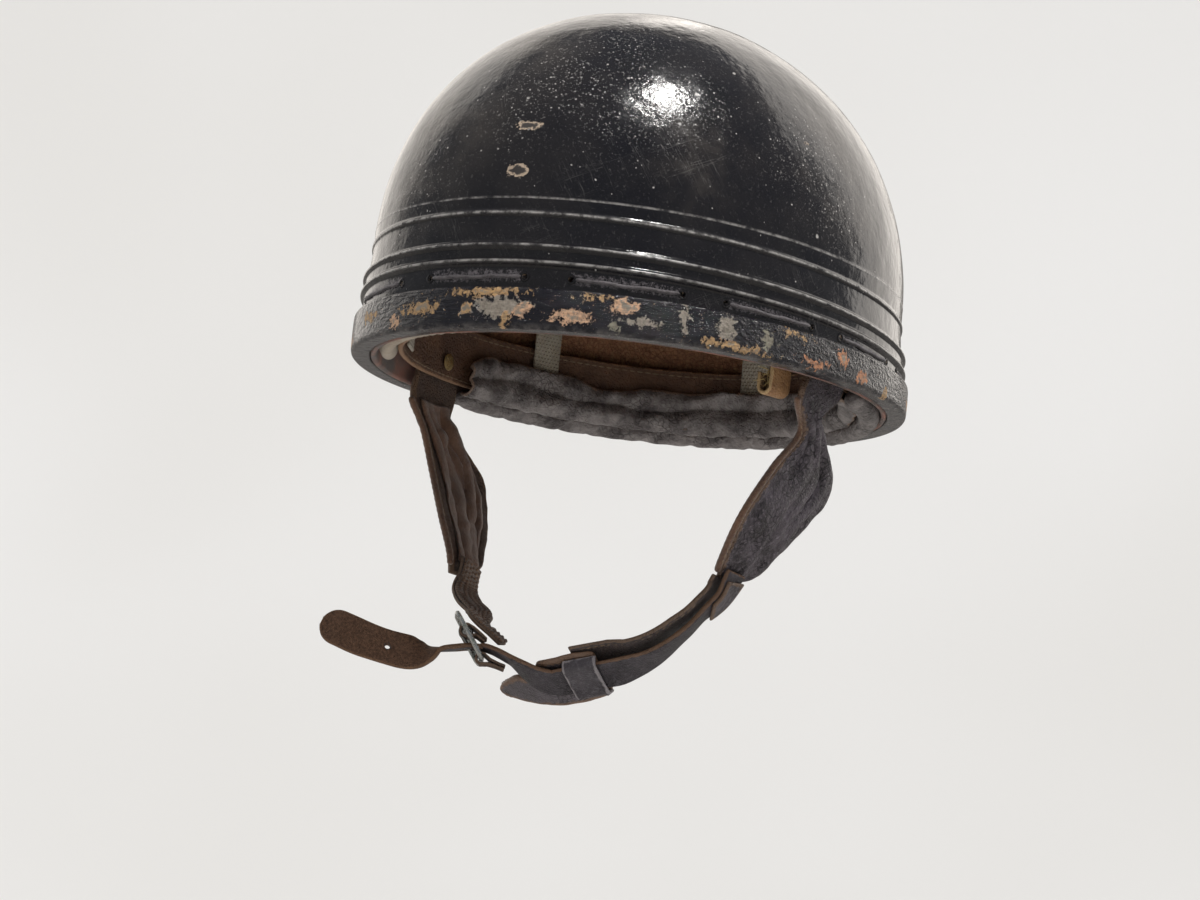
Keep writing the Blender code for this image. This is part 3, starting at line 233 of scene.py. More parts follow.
def sheetSolid(name, surface, thickness, outward=(0, 0, 0), bump=None, material=None):
    # Mid surface M(v, u) with normals N: M + N h outside and M - N h inside, where the half
    # thickness h = t/2 sqrt(1 - (1 - d/r)^2) falls to zero at the border, d away from it.
    # The border is shared by both faces. bump is added to the outer and inner face.
    rows, columns = surface.shape[:2]
    rounding = thickness / 2
    normals = surfaceNormals(surface, outward)
    along = np.linalg.norm(np.diff(surface, axis=0), axis=2)
    over = np.linalg.norm(np.diff(surface, axis=1), axis=2)
    down = np.concatenate([np.zeros((1, columns)), np.cumsum(along, 0)])
    side = np.concatenate([np.zeros((rows, 1)), np.cumsum(over, 1)], 1)
    border = np.minimum(np.minimum(down, down[-1] - down), np.minimum(side, side[:, -1:] - side))
    half = (thickness / 2 * rounded(border, rounding))[..., None]
    faces = [surface + normals * half, surface - normals * half]
    if bump is not None:
        fade = np.clip(border / (rounding * 2), 0, 1)[..., None]
        faces = [face + normals * push[..., None] * fade for face, push in zip(faces, bump)]

    def ringed(front, back):
        # a ring of outer columns and the inner ones back again
        return np.concatenate([front, back[:, -2:0:-1]], 1)

    ring = ringed(*faces)
    index = indexGrid(*ring.shape[:2])
    for row in (0, rows - 1):   # end rows share their points
        index[row, columns:] = index[row, columns - 2:0:-1]
    quads = quadsOf(np.pad(index, ((0, 0), (0, 1)), "wrap"))
    u, v = (np.pad(ringed(run, run), ((0, 0), (0, 1)), "wrap") for run in (side, down))
    uv = np.stack([u - u.mean(), v], -1)
    uvQuads = quadsOf(indexGrid(*uv.shape[:2]))
    flat = ring.reshape(-1, 3)
    sizes = np.full(len(quads), 4)
    if volumeSign(flat, quads.ravel(), sizes) < 0:
        quads, uvQuads = quads[:, ::-1], uvQuads[:, ::-1]
    # points that no face uses are dropped
    used = np.unique(quads)
    new = np.full(len(flat), -1)
    new[used] = np.arange(len(used))
    marks = dict(edge=ringed(border, border), flesh=ringed(0 * border, 0 * border + 1))
    return pieceMesh(name, flat[used], new[quads].ravel(), sizes,
                     uv.reshape(-1, 2)[uvQuads.ravel()],
                     {k: v.ravel()[used] for k, v in marks.items()}, material)


def tubeSolid(name, path, radius, reference, sides=10, closed=False, material=None):
    # Circles of the radius round the path, set out from a reference direction at each point.
    path = np.asarray(path, float)
    runs = unit(np.roll(path, -1, 0) - np.roll(path, 1, 0) if closed else
                np.gradient(path, axis=0))
    first = squareTo(np.broadcast_to(np.asarray(reference, float), path.shape), runs)
    radius = np.broadcast_to(np.asarray(radius, float), len(path))
    circle = circleIn(first, np.cross(runs, first), sides)
    points = path[:, None] + circle * radius[:, None, None]
    caps = (None, None) if closed else (path[0] - runs[0] * radius[0] * 0.2,
                                        path[-1] + runs[-1] * radius[-1] * 0.2)
    return gridPiece(name, points, closeRows=closed, capStart=caps[0],
                     capEnd=caps[1], material=material)


def turnedSolid(name, profile, centre, axis, reference, sides, material):
    # Radii r at distances x along an axis, turned about it: C + x A + r (cos t B + sin t D).
    axis, profile = unit(axis), np.asarray(profile, float)
    first = squareTo(np.asarray(reference, float), axis)
    circle = circleIn(first, np.cross(axis, first), sides)
    points = (centre + axis * profile[:, :1])[:, None] + circle * profile[:, 1:, None]
    ends = [centre + axis * profile[k, 0] for k in (0, -1)]
    return gridPiece(name, points, capStart=ends[0], capEnd=ends[1], material=material)


def inFrames(local, places, *axes):
    # one set of points in the frame of three axes at each place
    points = places[:, None]
    for k, axis in enumerate(axes):
        points = points + local[None, :, k:k + 1] * axis[:, None]
    return points


def stitchRow(name, places, runs, outs, length, radius, lean=0.0, material=None):
    # Small pointed capsules, one at each place, along the run and half sunk in the surface.
    rows, sides = 5, 6
    along = np.linspace(-1, 1, rows)[:, None]
    swell = np.sqrt(1 - along ** 2 * 0.9)
    turn = np.arange(sides) / sides * tau
    local = np.stack([np.repeat(along * length / 2, sides, 1), swell * np.cos(turn) * radius,
                      swell * np.sin(turn) * radius * 0.8], -1).reshape(-1, 3)
    local = np.vstack([local, [[-length * 0.56, 0, 0], [length * 0.56, 0, 0]]])
    runs = unit(runs)
    outs = squareTo(outs, runs)
    runs = unit(runs + np.cross(outs, runs) * lean)
    index = indexGrid(rows, sides, 0, 1)
    low, high = (np.full(sides, rows * sides + k) for k in range(2))
    tris = np.vstack([np.stack([index[0, 1:], low, index[0, :-1]], -1),
                      np.stack([index[-1, :-1], high, index[-1, 1:]], -1)])
    return copiedSolid(name, inFrames(local, places, runs, np.cross(outs, runs), outs),
                       [quadsOf(index)[:, [0, 3, 2, 1]], tris], None, material)


def ripple(points, waveLength, seed, octaves=3):
    # sum of sines of many directions, each octave half as long and half as strong: -1 to 1
    chance = np.random.default_rng(seed)
    total = np.zeros(np.shape(points)[:-1])
    for octave in range(octaves):
        waves = unit(chance.normal(size=(7, 3))) * tau / (waveLength / 2 ** octave)
        phases = chance.uniform(0, tau, 7)
        total += np.sin(points @ waves.T + phases).sum(-1) / 3.2 * 0.5 ** octave
    return total / 1.5


def smoothStep(low, high, value):
    share = np.clip((value - low) / (high - low), 0, 1)
    return share * share * (3 - 2 * share)


def routeCurve(table):
    # Catmull-Rom curve through the rows of a table, as a function of the station number.
    table = np.asarray(table, float)
    knots = np.vstack([2 * table[0] - table[1], table, 2 * table[-1] - table[-2]])

    def at(stations):
        stations = np.clip(np.asarray(stations, float), 0, len(table) - 1)
        cell = np.minimum(stations.astype(int), len(table) - 2)
        t = (stations - cell)[..., None]
        a, b, c, d = (knots[cell + k] for k in range(4))
        bend = (2 * a - 5 * b + 4 * c - d) * t ** 2 + (3 * b - a - 3 * c + d) * t ** 3
        return b + ((c - a) * t + bend) / 2

    return at


# ---- the plan of the rim, as in the model
rimPlan = dict(halfWidth=0.1144, frontReach=0.1352, rearReach=0.1372, frontPower=2.0,
               rearPower=2.0)


def planPoint(inset, angle):
    # superellipse: x = (w - i) sgn(c) |c|^(2/p), y = (l - i) sgn(s) |s|^(2/p)
    s = rimPlan
    c, sine = np.cos(angle), np.sin(angle)
    front = sine < 0
    power = np.where(front, s["frontPower"], s["rearPower"])
    reach = np.where(front, s["frontReach"], s["rearReach"])
    x = (s["halfWidth"] - inset) * np.sign(c) * np.abs(c) ** (2 / power)
    y = (reach - inset) * np.sign(sine) * np.abs(sine) ** (2 / power)
    return np.stack(np.broadcast_arrays(x, y), -1)


def tiltRise(y, tilt):
    return np.where(y < 0, -y, -y + y * y / (2 * rimPlan["rearReach"])) * np.tan(tilt)


def rimPoint(inset, height, angle, tilt=0.0, share=1.0):
    plan = planPoint(inset, angle) * np.asarray(share)[..., None]
    rise = height + tiltRise(plan[..., 1], tilt)
    return np.stack(np.broadcast_arrays(plan[..., 0], plan[..., 1], rise), -1)


def rimNormal(angle):
    # outward direction of the plan, from its slope
    step = 0.0008
    run = planPoint(0.01, angle + step) - planPoint(0.01, angle - step)
    return unit(np.stack([run[..., 1], -run[..., 0], np.zeros(run.shape[:-1])], -1))


def evenAngles(count, inset=0.0, start=0.0, end=tau):
    # angles that cut the plan line into equal lengths
    fine = np.linspace(start, end, 7201)
    run = pathRuns(planPoint(inset, fine))
    return np.interp(np.linspace(0, run[-1], count), run, fine), run[-1]


def ringAngles(count):
    return evenAngles(count + 1)[0][:-1]


def ringSolid(name, section, columns, push, marks=None, material=None):
    # a closed outline of (inset, height) carried once round the plan and pushed outwards
    angle = ringAngles(columns)
    points = rimPoint(section[:, :1], section[:, 1:], angle)
    points = points + rimNormal(angle)[None] * push(points, section)[..., None]
    spread = {k: np.broadcast_to(v[:, None], points.shape[:2]) for k, v in (marks or {}).items()}
    return gridPiece(name, points, closeRows=True, marks=spread, material=material)


# ---- node groups that several finishes share


def addNode(kind, inputs, tree=None, **settings):
    # the tree is the one that the first linked socket lies in, where none is given
    links = {k: v for k, v in inputs.items() if isinstance(v, bpy.types.NodeSocket)}
    tree = tree or next(iter(links.values())).id_data
    made = tree.nodes.new("ShaderNode" + kind)
    for key, value in settings.items():
        setattr(made, key, value)
    for key, value in inputs.items():
        if key in links:
            tree.links.new(value, made.inputs[key])
        else:
            made.inputs[key].default_value = value
    return made


def mathNode(operation, *values, clamp=False):
    return addNode("Math", dict(enumerate(values)), operation=operation,
                   use_clamp=clamp).outputs[0]


times, plus, minus, timesPlus, larger, positive = (partial(mathNode, word) for word in (
    "MULTIPLY", "ADD", "SUBTRACT", "MULTIPLY_ADD", "MAXIMUM", "ABSOLUTE"))


def mixColour(share, *colours):
    first, second = ((*c, 1.0) if isinstance(c, tuple) else c for c in colours)
    return addNode("Mix", {0: share, 6: first, 7: second}, data_type="RGBA").outputs[2]


def mapRange(value, low, high, outLow=0.0, outHigh=1.0):
    return addNode("MapRange", {0: value, 1: low, 2: high, 3: outLow, 4: outHigh},
                   interpolation_type="SMOOTHSTEP").outputs[0]


def noise(vector, scale, detail=3.0, roughness=0.5, output=0):
    return addNode("TexNoise", {"Vector": vector, "Scale": scale, "Detail": detail,
                                "Roughness": roughness}).outputs[output]


def patches(vector, scale, detail, roughness, *limits):
    return mapRange(noise(vector, scale, detail, roughness), *limits)


def cellEdges(vector, scale):
    # distance from the nearest border between cells
    return addNode("TexVoronoi", {"Vector": vector, "Scale": scale},
                   feature="DISTANCE_TO_EDGE").outputs["Distance"]


def warped(vector, scale, reach):
    # the vector pushed about by a noise of its own
    push = addNode("VectorMath", {0: noise(vector, scale, 2.0, output=1), "Scale": reach},
                   operation="SCALE").outputs[0]
    return addNode("VectorMath", {0: vector, 1: push}).outputs[0]


def newGroup(name, inputs, outputs):
    group = bpy.data.node_groups.new(name, "ShaderNodeTree")
    for label, kind, value in inputs:
        socket = group.interface.new_socket(label, in_out="INPUT", socket_type="NodeSocket" + kind)
        if value is not None:
            socket.default_value = value
    for label, kind in outputs:
        group.interface.new_socket(label, in_out="OUTPUT", socket_type="NodeSocket" + kind)
    given, out = (group.nodes.new("NodeGroup" + kind) for kind in ("Input", "Output"))
    return group, given.outputs, out.inputs


def useGroup(group, inputs):
    return addNode("Group", inputs, node_tree=group).outputs


def makeSpecks():
    # Round specks: one chance per cell whether it holds a speck, and how large it is.
    group, given, out = newGroup(
        "specks", [("Vector", "Vector", None), ("Scale", "Float", 600.0),
                   ("Amount", "Float", 0.1), ("Size", "Float", 0.35)], [("Mask", "Float")])
    cells = addNode("TexVoronoi", {"Vector": warped(given["Vector"], 900.0, 0.0008),
                                   "Scale": given["Scale"]})
    chance = addNode("SeparateColor", {0: cells.outputs["Color"]}).outputs
    held = mathNode("LESS_THAN", chance[0], given["Amount"])
    radius = times(given["Size"], plus(chance[1], 0.35))
    inside = mathNode("DIVIDE", cells.outputs["Distance"], radius)
    group.links.new(times(mapRange(inside, 1.0, 0.55), held), out["Mask"])
    return group


def makeScratches():
    # Fine straight scratches: noise drawn out along one direction and cut to thin lines.
    group, given, out = newGroup(
        "scratches", [("Vector", "Vector", None), ("Turn", "Vector", (0.0, 0.0, 0.0)),
                      ("Scale", "Float", 60.0), ("Amount", "Float", 0.5)], [("Mask", "Float")])
    turned = addNode("Mapping", {0: given["Vector"], "Rotation": given["Turn"],
                                 "Scale": (1.0, 24.0, 1.0)}, vector_type="TEXTURE").outputs[0]
    thin = positive(minus(noise(turned, given["Scale"], 4.0, 0.7), 0.5))
    reach = mapRange(plus(noise(given["Vector"], 22.0, 2.0), given["Amount"]), 0.85, 1.15)
    group.links.new(times(mapRange(thin, 0.006, 0.0), reach), out["Mask"])
    return group


def makeGrain():
    # Leather: rounded pebbles between creases, fine pores, and broad soft unevenness.
    group, given, out = newGroup(
        "leatherGrain", [("Vector", "Vector", None), ("Scale", "Float", 700.0),
                         ("Crackle", "Float", 0.5)], [("Height", "Float"), ("Crease", "Float")])
    moved = warped(given["Vector"], 260.0, 0.0024)
    pebble = mapRange(cellEdges(moved, given["Scale"]), 0.0, 0.35)
    crack = mapRange(cellEdges(moved, times(given["Scale"], 0.62)), 0.10, 0.0)
    patch = patches(given["Vector"], 70.0, 2.0, 0.5, 0.42, 0.62)
    crease = times(times(crack, patch), given["Crackle"])
    fine = noise(given["Vector"], 2600.0, 3.0, 0.6)
    height = minus(plus(times(pebble, 0.5), times(fine, 0.35)), times(crease, 1.2))
    group.links.new(height, out["Height"])
    group.links.new(crease, out["Crease"])
    return group


def makeEdgeWear():
    # Wear within a width of an edge, with a ragged inner limit.
    group, given, out = newGroup(
        "edgeWear", [("Vector", "Vector", None), ("Edge", "Float", 1.0), ("Width", "Float", 0.002),
                     ("Ragged", "Float", 0.6), ("Scale", "Float", 300.0)], [("Mask", "Float")])
    rough = minus(noise(given["Vector"], given["Scale"], 4.0, 0.65), 0.5)
    shift = times(times(rough, given["Ragged"]), times(given["Width"], 4.0))
    near = mathNode("DIVIDE", plus(given["Edge"], shift), given["Width"])
    group.links.new(mapRange(near, 1.0, 0.55), out["Mask"])
    return group


def makeWeave():
    # Plain weave on the piece's own run in metres: each thread a ridge that dips and rises.
    group, given, out = newGroup(
        "weave", [("Vector", "Vector", None), ("Threads", "Float", 900.0),
                  ("Ribs", "Float", 1.0)], [("Height", "Float")])
    split = addNode("SeparateXYZ", {0: given["Vector"]}).outputs
    u = times(split[0], given["Threads"])
    v = times(times(split[1], given["Threads"]), given["Ribs"])
    across, along = (positive(mathNode("SINE", times(k, pi))) for k in (u, v))
    cell = plus(mathNode("FLOOR", u), mathNode("FLOOR", v))
    over = mathNode("MODULO", positive(cell), 2.0)
    height = addNode("Mix", {0: over, 2: across, 3: along}).outputs[0]
    group.links.new(height, out["Height"])
    return group


specks, scratches, grain = makeSpecks(), makeScratches(), makeGrain()
edgeWear, weave = makeEdgeWear(), makeWeave()
print("node groups made")

# ---- finishes


def newFinish(name, roughness=0.5, metallic=0.0, specular=0.5, sheen=0.0):
    material = bpy.data.materials.new(name)
    material.use_nodes = True
    shader = material.node_tree.nodes["Principled BSDF"]
    for label, value in (("Roughness", roughness), ("Metallic", metallic),
                         ("Specular IOR Level", specular), ("Sheen Weight", sheen)):
        shader.inputs[label].default_value = value
    return material, shader, addNode("TexCoord", {}, material.node_tree).outputs["Object"]


def readMark(where, name):
    return addNode("Attribute", {}, where.id_data, attribute_name=name).outputs["Fac"]


def dress(shader, colour, rough, height, depth):
    # links what a finish worked out; rough is None where the roughness is even
    bump = addNode("Bump", {"Height": height, "Distance": depth, "Strength": 1.0}).outputs[0]
    for label, value in (("Base Color", colour), ("Roughness", rough), ("Normal", bump)):
        if value is not None:
            colour.id_data.links.new(value, shader.inputs[label])


def darker(colour, share):
    return tuple(share * value for value in colour)


# the pale speck colour also paints the highlight along the crests of the raised lines
lacquerSet = dict(black=(0.0035, 0.0035, 0.006), haze=(0.060, 0.052, 0.046),
                  speckAndCrestShine=(0.50, 0.48, 0.46), ring=(0.46, 0.36, 0.27), core=(0.035, 0.03, 0.028),
                  fuzz=(0.155, 0.14, 0.15), gloss=0.12, worn=0.38, unroll=0.115)
bandSet = dict(under=(0.21, 0.185, 0.15), black=(0.004, 0.004, 0.008), dull=(0.12, 0.11, 0.105),
               grime=(0.10, 0.075, 0.06), gloss=0.07, dullGloss=0.5,
               chips=((0.47, 0.29, 0.13), (0.60, 0.37, 0.23), (0.30, 0.265, 0.22),
                      (0.24, 0.23, 0.17), (0.52, 0.22, 0.10)))


def makeLacquer(s):
    material, shader, where = newFinish("blackLacquer", specular=0.55)
    specked, hazed, chip, crestRubAndShine, groove = (
        readMark(where, mark) for mark in ("specked", "hazed", "chip", "crestRubAndShine", "groove"))
    dots, bigDots = (
        useGroup(specks, {"Vector": where, "Scale": scale, "Size": 0.24,
                          "Amount": timesPlus(specked, many, few)})["Mask"]
        for scale, many, few in ((620.0, 0.42, 0.02), (260.0, 0.10, 0.004)))
    # the dome unrolled: arc round the crown against height, so that scratches lie in the surface
    split = addNode("SeparateXYZ", {0: where}).outputs
    around = times(mathNode("ARCTAN2", split[1], split[0]), s["unroll"])
    flat = addNode("CombineXYZ", {0: around, 1: split[2]}).outputs[0]
    lines, moreLines = (
        useGroup(scratches, {"Vector": flat, "Turn": (0.0, 0.0, turn), "Scale": scale,
                             "Amount": amount})["Mask"]
        for turn, scale, amount in ((0.5, 150.0, 0.39), (-1.1, 120.0, 0.35)))
    flecks = times(patches(where, 760.0, 6.0, 0.8, 0.575, 0.64), timesPlus(specked, 0.62, 0.07))
    dim = timesPlus(noise(where, 340.0), 1.4, -0.05, clamp=True)
    marks = larger(times(larger(dots, bigDots), dim), times(larger(lines, moreLines), 0.13))
    # pale lines on the crests of the beads and ridges: partly rubbed lacquer, partly a painted
    # highlight
    rubAndHighlight = times(crestRubAndShine, patches(where, 170.0, 6.0, 0.75, 0.36, 0.62, 0.05, 0.9))
    marks = larger(larger(marks, flecks), rubAndHighlight)
    fuzz = mapRange(timesPlus(groove, 0.26, noise(where, 620.0, 7.0, 0.85)), 0.70, 0.84)
    haze = times(patches(where, 26.0, 7.0, 0.62, 0.30, 0.66), timesPlus(hazed, 0.95, 0.14),
                 clamp=True)
    # a chip has a pale ring round a dark core, both with ragged limits
    distance = plus(chip, times(minus(noise(where, 420.0, 5.0, 0.75), 0.5), 0.0060))
    inside = mapRange(distance, 0.0, 0.00012)
    ring, core = (times(inside, mapRange(distance, *limits))
                  for limits in ((0.0010, 0.0005), (0.0005, 0.0010)))
    colour = mixColour(haze, s["black"], s["haze"])
    # one pale colour for the specks, scratches, flecks and the painted crest highlight
    for share, tone in ((marks, "speckAndCrestShine"), (fuzz, "fuzz"), (core, "core"), (ring, "ring")):
        colour = mixColour(share, colour, s[tone])
    rough = timesPlus(haze, 0.16, s["gloss"])
    rough = timesPlus(patches(where, 120.0, 4.0, 0.5, 0.4, 0.7), 0.05, rough)
    rough = timesPlus(larger(larger(marks, inside), fuzz), s["worn"], rough, clamp=True)
    height = timesPlus(noise(where, 70.0), 1.1, times(noise(where, 300.0, 2.0), 0.16))
    rub = timesPlus(larger(specked, hazed), 0.22, 0.05)
    height = timesPlus(noise(where, 620.0, 4.0, 0.65), rub, height)
    height = minus(minus(height, times(marks, 0.10)), times(inside, 0.25))
    dress(shader, colour, rough, height, 0.0006)
    return material


def makeBandLacquer(s):
    material, shader, where = newFinish("chippedLacquer", specular=0.55)
    chip, hue, dull, crumpled = (
        readMark(where, mark) for mark in ("chip", "hue", "dull", "crumpled"))
    distance = timesPlus(minus(noise(where, 300.0, 6.0, 0.74), 0.48), 0.0105, chip)
    flakes = patches(where, 330.0, 6.0, 0.78, 0.625, 0.66)
    mask = larger(mapRange(distance, 0.0, 0.0002), times(flakes, 0.75))
    ramp = addNode("ValToRGB", {0: hue})
    ramp.color_ramp.interpolation = "CONSTANT"
    tones = ramp.color_ramp.elements
    while len(tones) < len(s["chips"]):
        tones.new(1.0)
    for number, colour in enumerate(s["chips"]):
        tones[number].position = number / len(s["chips"])
        tones[number].color = (*colour, 1.0)
    grime = patches(where, 700.0, 6.0, 0.7, 0.42, 0.66)
    layer = mixColour(times(grime, 0.75), ramp.outputs[0], s["grime"])
    patchy = patches(where, 190.0, 4.0, 0.7, 0.42, 0.56)
    layer = mixColour(times(mapRange(distance, 0.0009, 0.0016), patchy), layer, s["under"])
    worn = times(patches(where, 160.0, 6.0, 0.65, 0.38, 0.68), timesPlus(dull, 0.62, 0.04),
                 clamp=True)
    colour = mixColour(mask, mixColour(worn, s["black"], s["dull"]), layer)
    rough = timesPlus(mask, s["dullGloss"], timesPlus(worn, 0.32, s["gloss"]), clamp=True)
    wrinkle = addNode("Mapping", {0: where, "Scale": (1.0, 1.0, 3.4)}).outputs[0]
    height = timesPlus(noise(where, 1300.0, 4.0, 0.6), 0.04, noise(wrinkle, 210.0, 5.0, 0.6))
    ridged = positive(minus(noise(where, 340.0, 3.0, 0.6), 0.5))
    height = timesPlus(ridged, times(crumpled, 3.4), height)
    dress(shader, colour, rough, minus(height, times(mask, 0.5)), 0.0011)
    return material


def makeLeather(name, s):
    material, shader, where = newFinish(name, specular=s.get("specular", 0.4))
    skin = useGroup(grain, {"Vector": where, "Scale": s["grain"], "Crackle": s["crackle"]})
    patch = patches(where, s.get("patch", 60.0), 6.0, 0.6, 0.36, 0.66)
    fine = patches(where, 520.0, 5.0, 0.65, 0.45, 0.72)
    flesh = mapRange(readMark(where, "flesh"), 0.45, 0.55)
    nap = noise(where, 900.0, 6.0, 0.75)
    under = mixColour(mapRange(nap, 0.35, 0.65), s["flesh"], darker(s["flesh"], 0.45))
    worn = useGroup(edgeWear, {"Vector": where, "Edge": readMark(where, "edge"),
                               "Width": s["wear"]})["Mask"]
    colour = mixColour(patch, s["base"], s["second"])
    for share, tone in ((times(fine, s["fleck"]), s.get("fleckColour", s["edge"])),
                        (times(skin["Crease"], 0.85, clamp=True), s["crease"]),
                        (flesh, under), (times(worn, 0.85), s["edge"])):
        colour = mixColour(share, colour, tone)
    rough = timesPlus(skin["Crease"], 0.25, timesPlus(patch, 0.15, s["rough"]))
    rough = timesPlus(flesh, 0.45, rough, clamp=True)
    rough = timesPlus(worn, 0.2, rough, clamp=True)
    height = timesPlus(times(nap, flesh), 1.2, skin["Height"])
    height = timesPlus(noise(where, 140.0, 4.0), s.get("lumps", 1.4), height)
    dress(shader, colour, rough, height, s.get("depth", 0.0004))
    return material


def makeCloth(name, s):
    # woven cloth or webbing on the run of the piece
    material, shader, where = newFinish(name, roughness=0.9, specular=0.25, sheen=0.25)
    run = addNode("UVMap", {}, where.id_data).outputs[0]
    thread = useGroup(weave, {"Vector": run, "Threads": s["threads"], "Ribs": s["ribs"]})[0]
    fuzz = noise(where, 1500.0, 4.0, 0.7)
    colour = mixColour(patches(where, s.get("stain", 55.0), 6.0, 0.65, 0.36, 0.68), s["base"],
                       s["second"])
    colour = mixColour(times(minus(1.0, thread), 0.6), colour, s["deep"])
    colour = mixColour(mapRange(fuzz, 0.5, 0.8, 0.0, 0.5), colour, s["second"])
    height = plus(noise(where, 180.0), timesPlus(fuzz, 0.5, thread))
    dress(shader, colour, None, height, s["depth"])
    return material


def makeFibre(name, s):
    # felt, cork, suede, thread: grains or fibres without a weave
    material, shader, where = newFinish(name, roughness=s["rough"], specular=0.25,
                                        sheen=s.get("sheen", 0.2))
    nap = noise(where, s["nap"], 6.0, 0.75)
    colour = mixColour(patches(where, s["patch"], 6.0, 0.65, 0.36, 0.66), s["base"], s["second"])
    colour = mixColour(mapRange(nap, 0.42, 0.68, 0.0, s["fleck"]), colour, s["fleckColour"])
    height = nap
    if "cells" in s:
        gap = mapRange(cellEdges(where, s["cells"]), 0.10, 0.02)
        colour = mixColour(times(gap, s["gap"]), colour, darker(s["base"], 0.3))
        height = minus(nap, times(gap, 0.8))
    height = plus(noise(where, s["patch"] * 2.5), height)
    dress(shader, colour, None, height, s["depth"])
    return material


def makeMetal(name, s):
    material, shader, where = newFinish(name, metallic=1.0)
    spots = patches(where, s["patch"], 7.0, 0.72, s["low"], s["high"])
    fine = patches(where, s["patch"] * 5, 5.0, 0.7, 0.44, 0.66)
    stain = times(spots, timesPlus(fine, 0.6, 0.5), clamp=True)
    where.id_data.links.new(minus(1.0, times(stain, 0.8)), shader.inputs["Metallic"])
    lines = useGroup(scratches, {"Vector": where, "Turn": (0.3, 0.5, 1.2), "Scale": 700.0,
                                 "Amount": 0.8})["Mask"]
    dress(shader, mixColour(stain, s["metal"], s["stain"]), timesPlus(stain, 0.5, s["rough"]),
          minus(stain, times(lines, 0.4)), 0.0002)
    return material


lacquer = makeLacquer(lacquerSet)
bandLacquer = makeBandLacquer(bandSet)
greyLeather = makeLeather("greyLeather", dict(
    base=(0.022, 0.017, 0.022), second=(0.074, 0.060, 0.074), crease=(0.009, 0.006, 0.007),
    edge=(0.16, 0.095, 0.055), flesh=(0.11, 0.065, 0.045), grain=620.0, crackle=0.9, rough=0.32,
    wear=0.0017, fleck=0.6, fleckColour=(0.20, 0.17, 0.20), specular=0.8, patch=90.0, depth=0.0007))
padLeather = makeLeather("padLeather", dict(
    base=(0.034, 0.028, 0.034), second=(0.085, 0.073, 0.085), crease=(0.012, 0.009, 0.010),
    edge=(0.17, 0.098, 0.058), flesh=(0.11, 0.065, 0.045), grain=620.0, crackle=0.7, rough=0.30,
    wear=0.0030, fleck=0.4, fleckColour=(0.17, 0.15, 0.17), specular=0.7, patch=90.0))
# a paler copy of the grey leather for the curtain, its roll and its tuck: painted light on the
# folds
curtainLeatherPaintedLight = makeLeather("curtainLeatherPaintedLight", dict(
    base=(0.055, 0.046, 0.047), second=(0.20, 0.18, 0.175), crease=(0.022, 0.017, 0.017),
    edge=(0.22, 0.15, 0.11), flesh=(0.12, 0.09, 0.075), grain=520.0, crackle=0.7, rough=0.34,
    wear=0.0016, fleck=0.3, fleckColour=(0.30, 0.275, 0.265), specular=0.6, patch=80.0,
    depth=0.0004))
strapLeather = makeLeather("strapLeather", dict(
    base=(0.026, 0.022, 0.027), second=(0.052, 0.045, 0.053), crease=(0.014, 0.010, 0.012),
    edge=(0.15, 0.085, 0.05), flesh=(0.125, 0.068, 0.042), grain=800.0, crackle=0.5, rough=0.34,
    wear=0.0007, fleck=0.25, fleckColour=(0.17, 0.165, 0.175), lumps=0.8))
darkLeather = makeLeather("darkLeather", dict(
    base=(0.035, 0.028, 0.030), second=(0.075, 0.06, 0.058), crease=(0.014, 0.010, 0.010),
    edge=(0.15, 0.10, 0.07), flesh=(0.10, 0.06, 0.04), grain=700.0, crackle=0.8, rough=0.38,
    wear=0.0006, fleck=0.25))
loopLeather = makeLeather("loopLeather", dict(
    base=(0.032, 0.027, 0.033), second=(0.060, 0.053, 0.061), crease=(0.014, 0.010, 0.012),
    edge=(0.24, 0.22, 0.23), flesh=(0.10, 0.06, 0.04), grain=900.0, crackle=0.15, rough=0.32,
    wear=0.0012, fleck=0.3, fleckColour=(0.20, 0.195, 0.21), lumps=0.5, depth=0.0002))
tanLeather = makeLeather("tanLeather", dict(
    base=(0.34, 0.19, 0.085), second=(0.22, 0.115, 0.055), crease=(0.09, 0.045, 0.02),
    edge=(0.42, 0.29, 0.15), flesh=(0.30, 0.20, 0.11), grain=560.0, crackle=0.8, rough=0.5,
    wear=0.0009, fleck=0.4, fleckColour=(0.12, 0.065, 0.035)))
headbandLeather = makeLeather("headbandLeather", dict(
    base=(0.125, 0.066, 0.038), second=(0.075, 0.040, 0.026), crease=(0.03, 0.016, 0.011),
    edge=(0.24, 0.14, 0.08), flesh=(0.22, 0.14, 0.085), grain=480.0, crackle=0.45, rough=0.48,
    wear=0.0012, fleck=0.35, fleckColour=(0.07, 0.04, 0.03)))
suede = makeFibre("brownSuede", dict(
    base=(0.125, 0.066, 0.042), second=(0.075, 0.040, 0.028), nap=1400.0, patch=70.0, fleck=0.6,
    fleckColour=(0.21, 0.125, 0.08), rough=0.92, sheen=0.35, depth=0.0004))
felt = makeFibre("greyFelt", dict(
    base=(0.055, 0.045, 0.040), second=(0.20, 0.070, 0.040), nap=1200.0, patch=48.0, fleck=0.35,
    fleckColour=(0.16, 0.13, 0.12), rough=0.95, depth=0.0005))
cork = makeFibre("cork", dict(
    base=(0.24, 0.115, 0.06), second=(0.17, 0.075, 0.042), nap=700.0, patch=120.0, fleck=0.7,
    fleckColour=(0.34, 0.19, 0.10), rough=0.9, cells=520.0, gap=0.35, depth=0.0006,
    sheen=0.0))
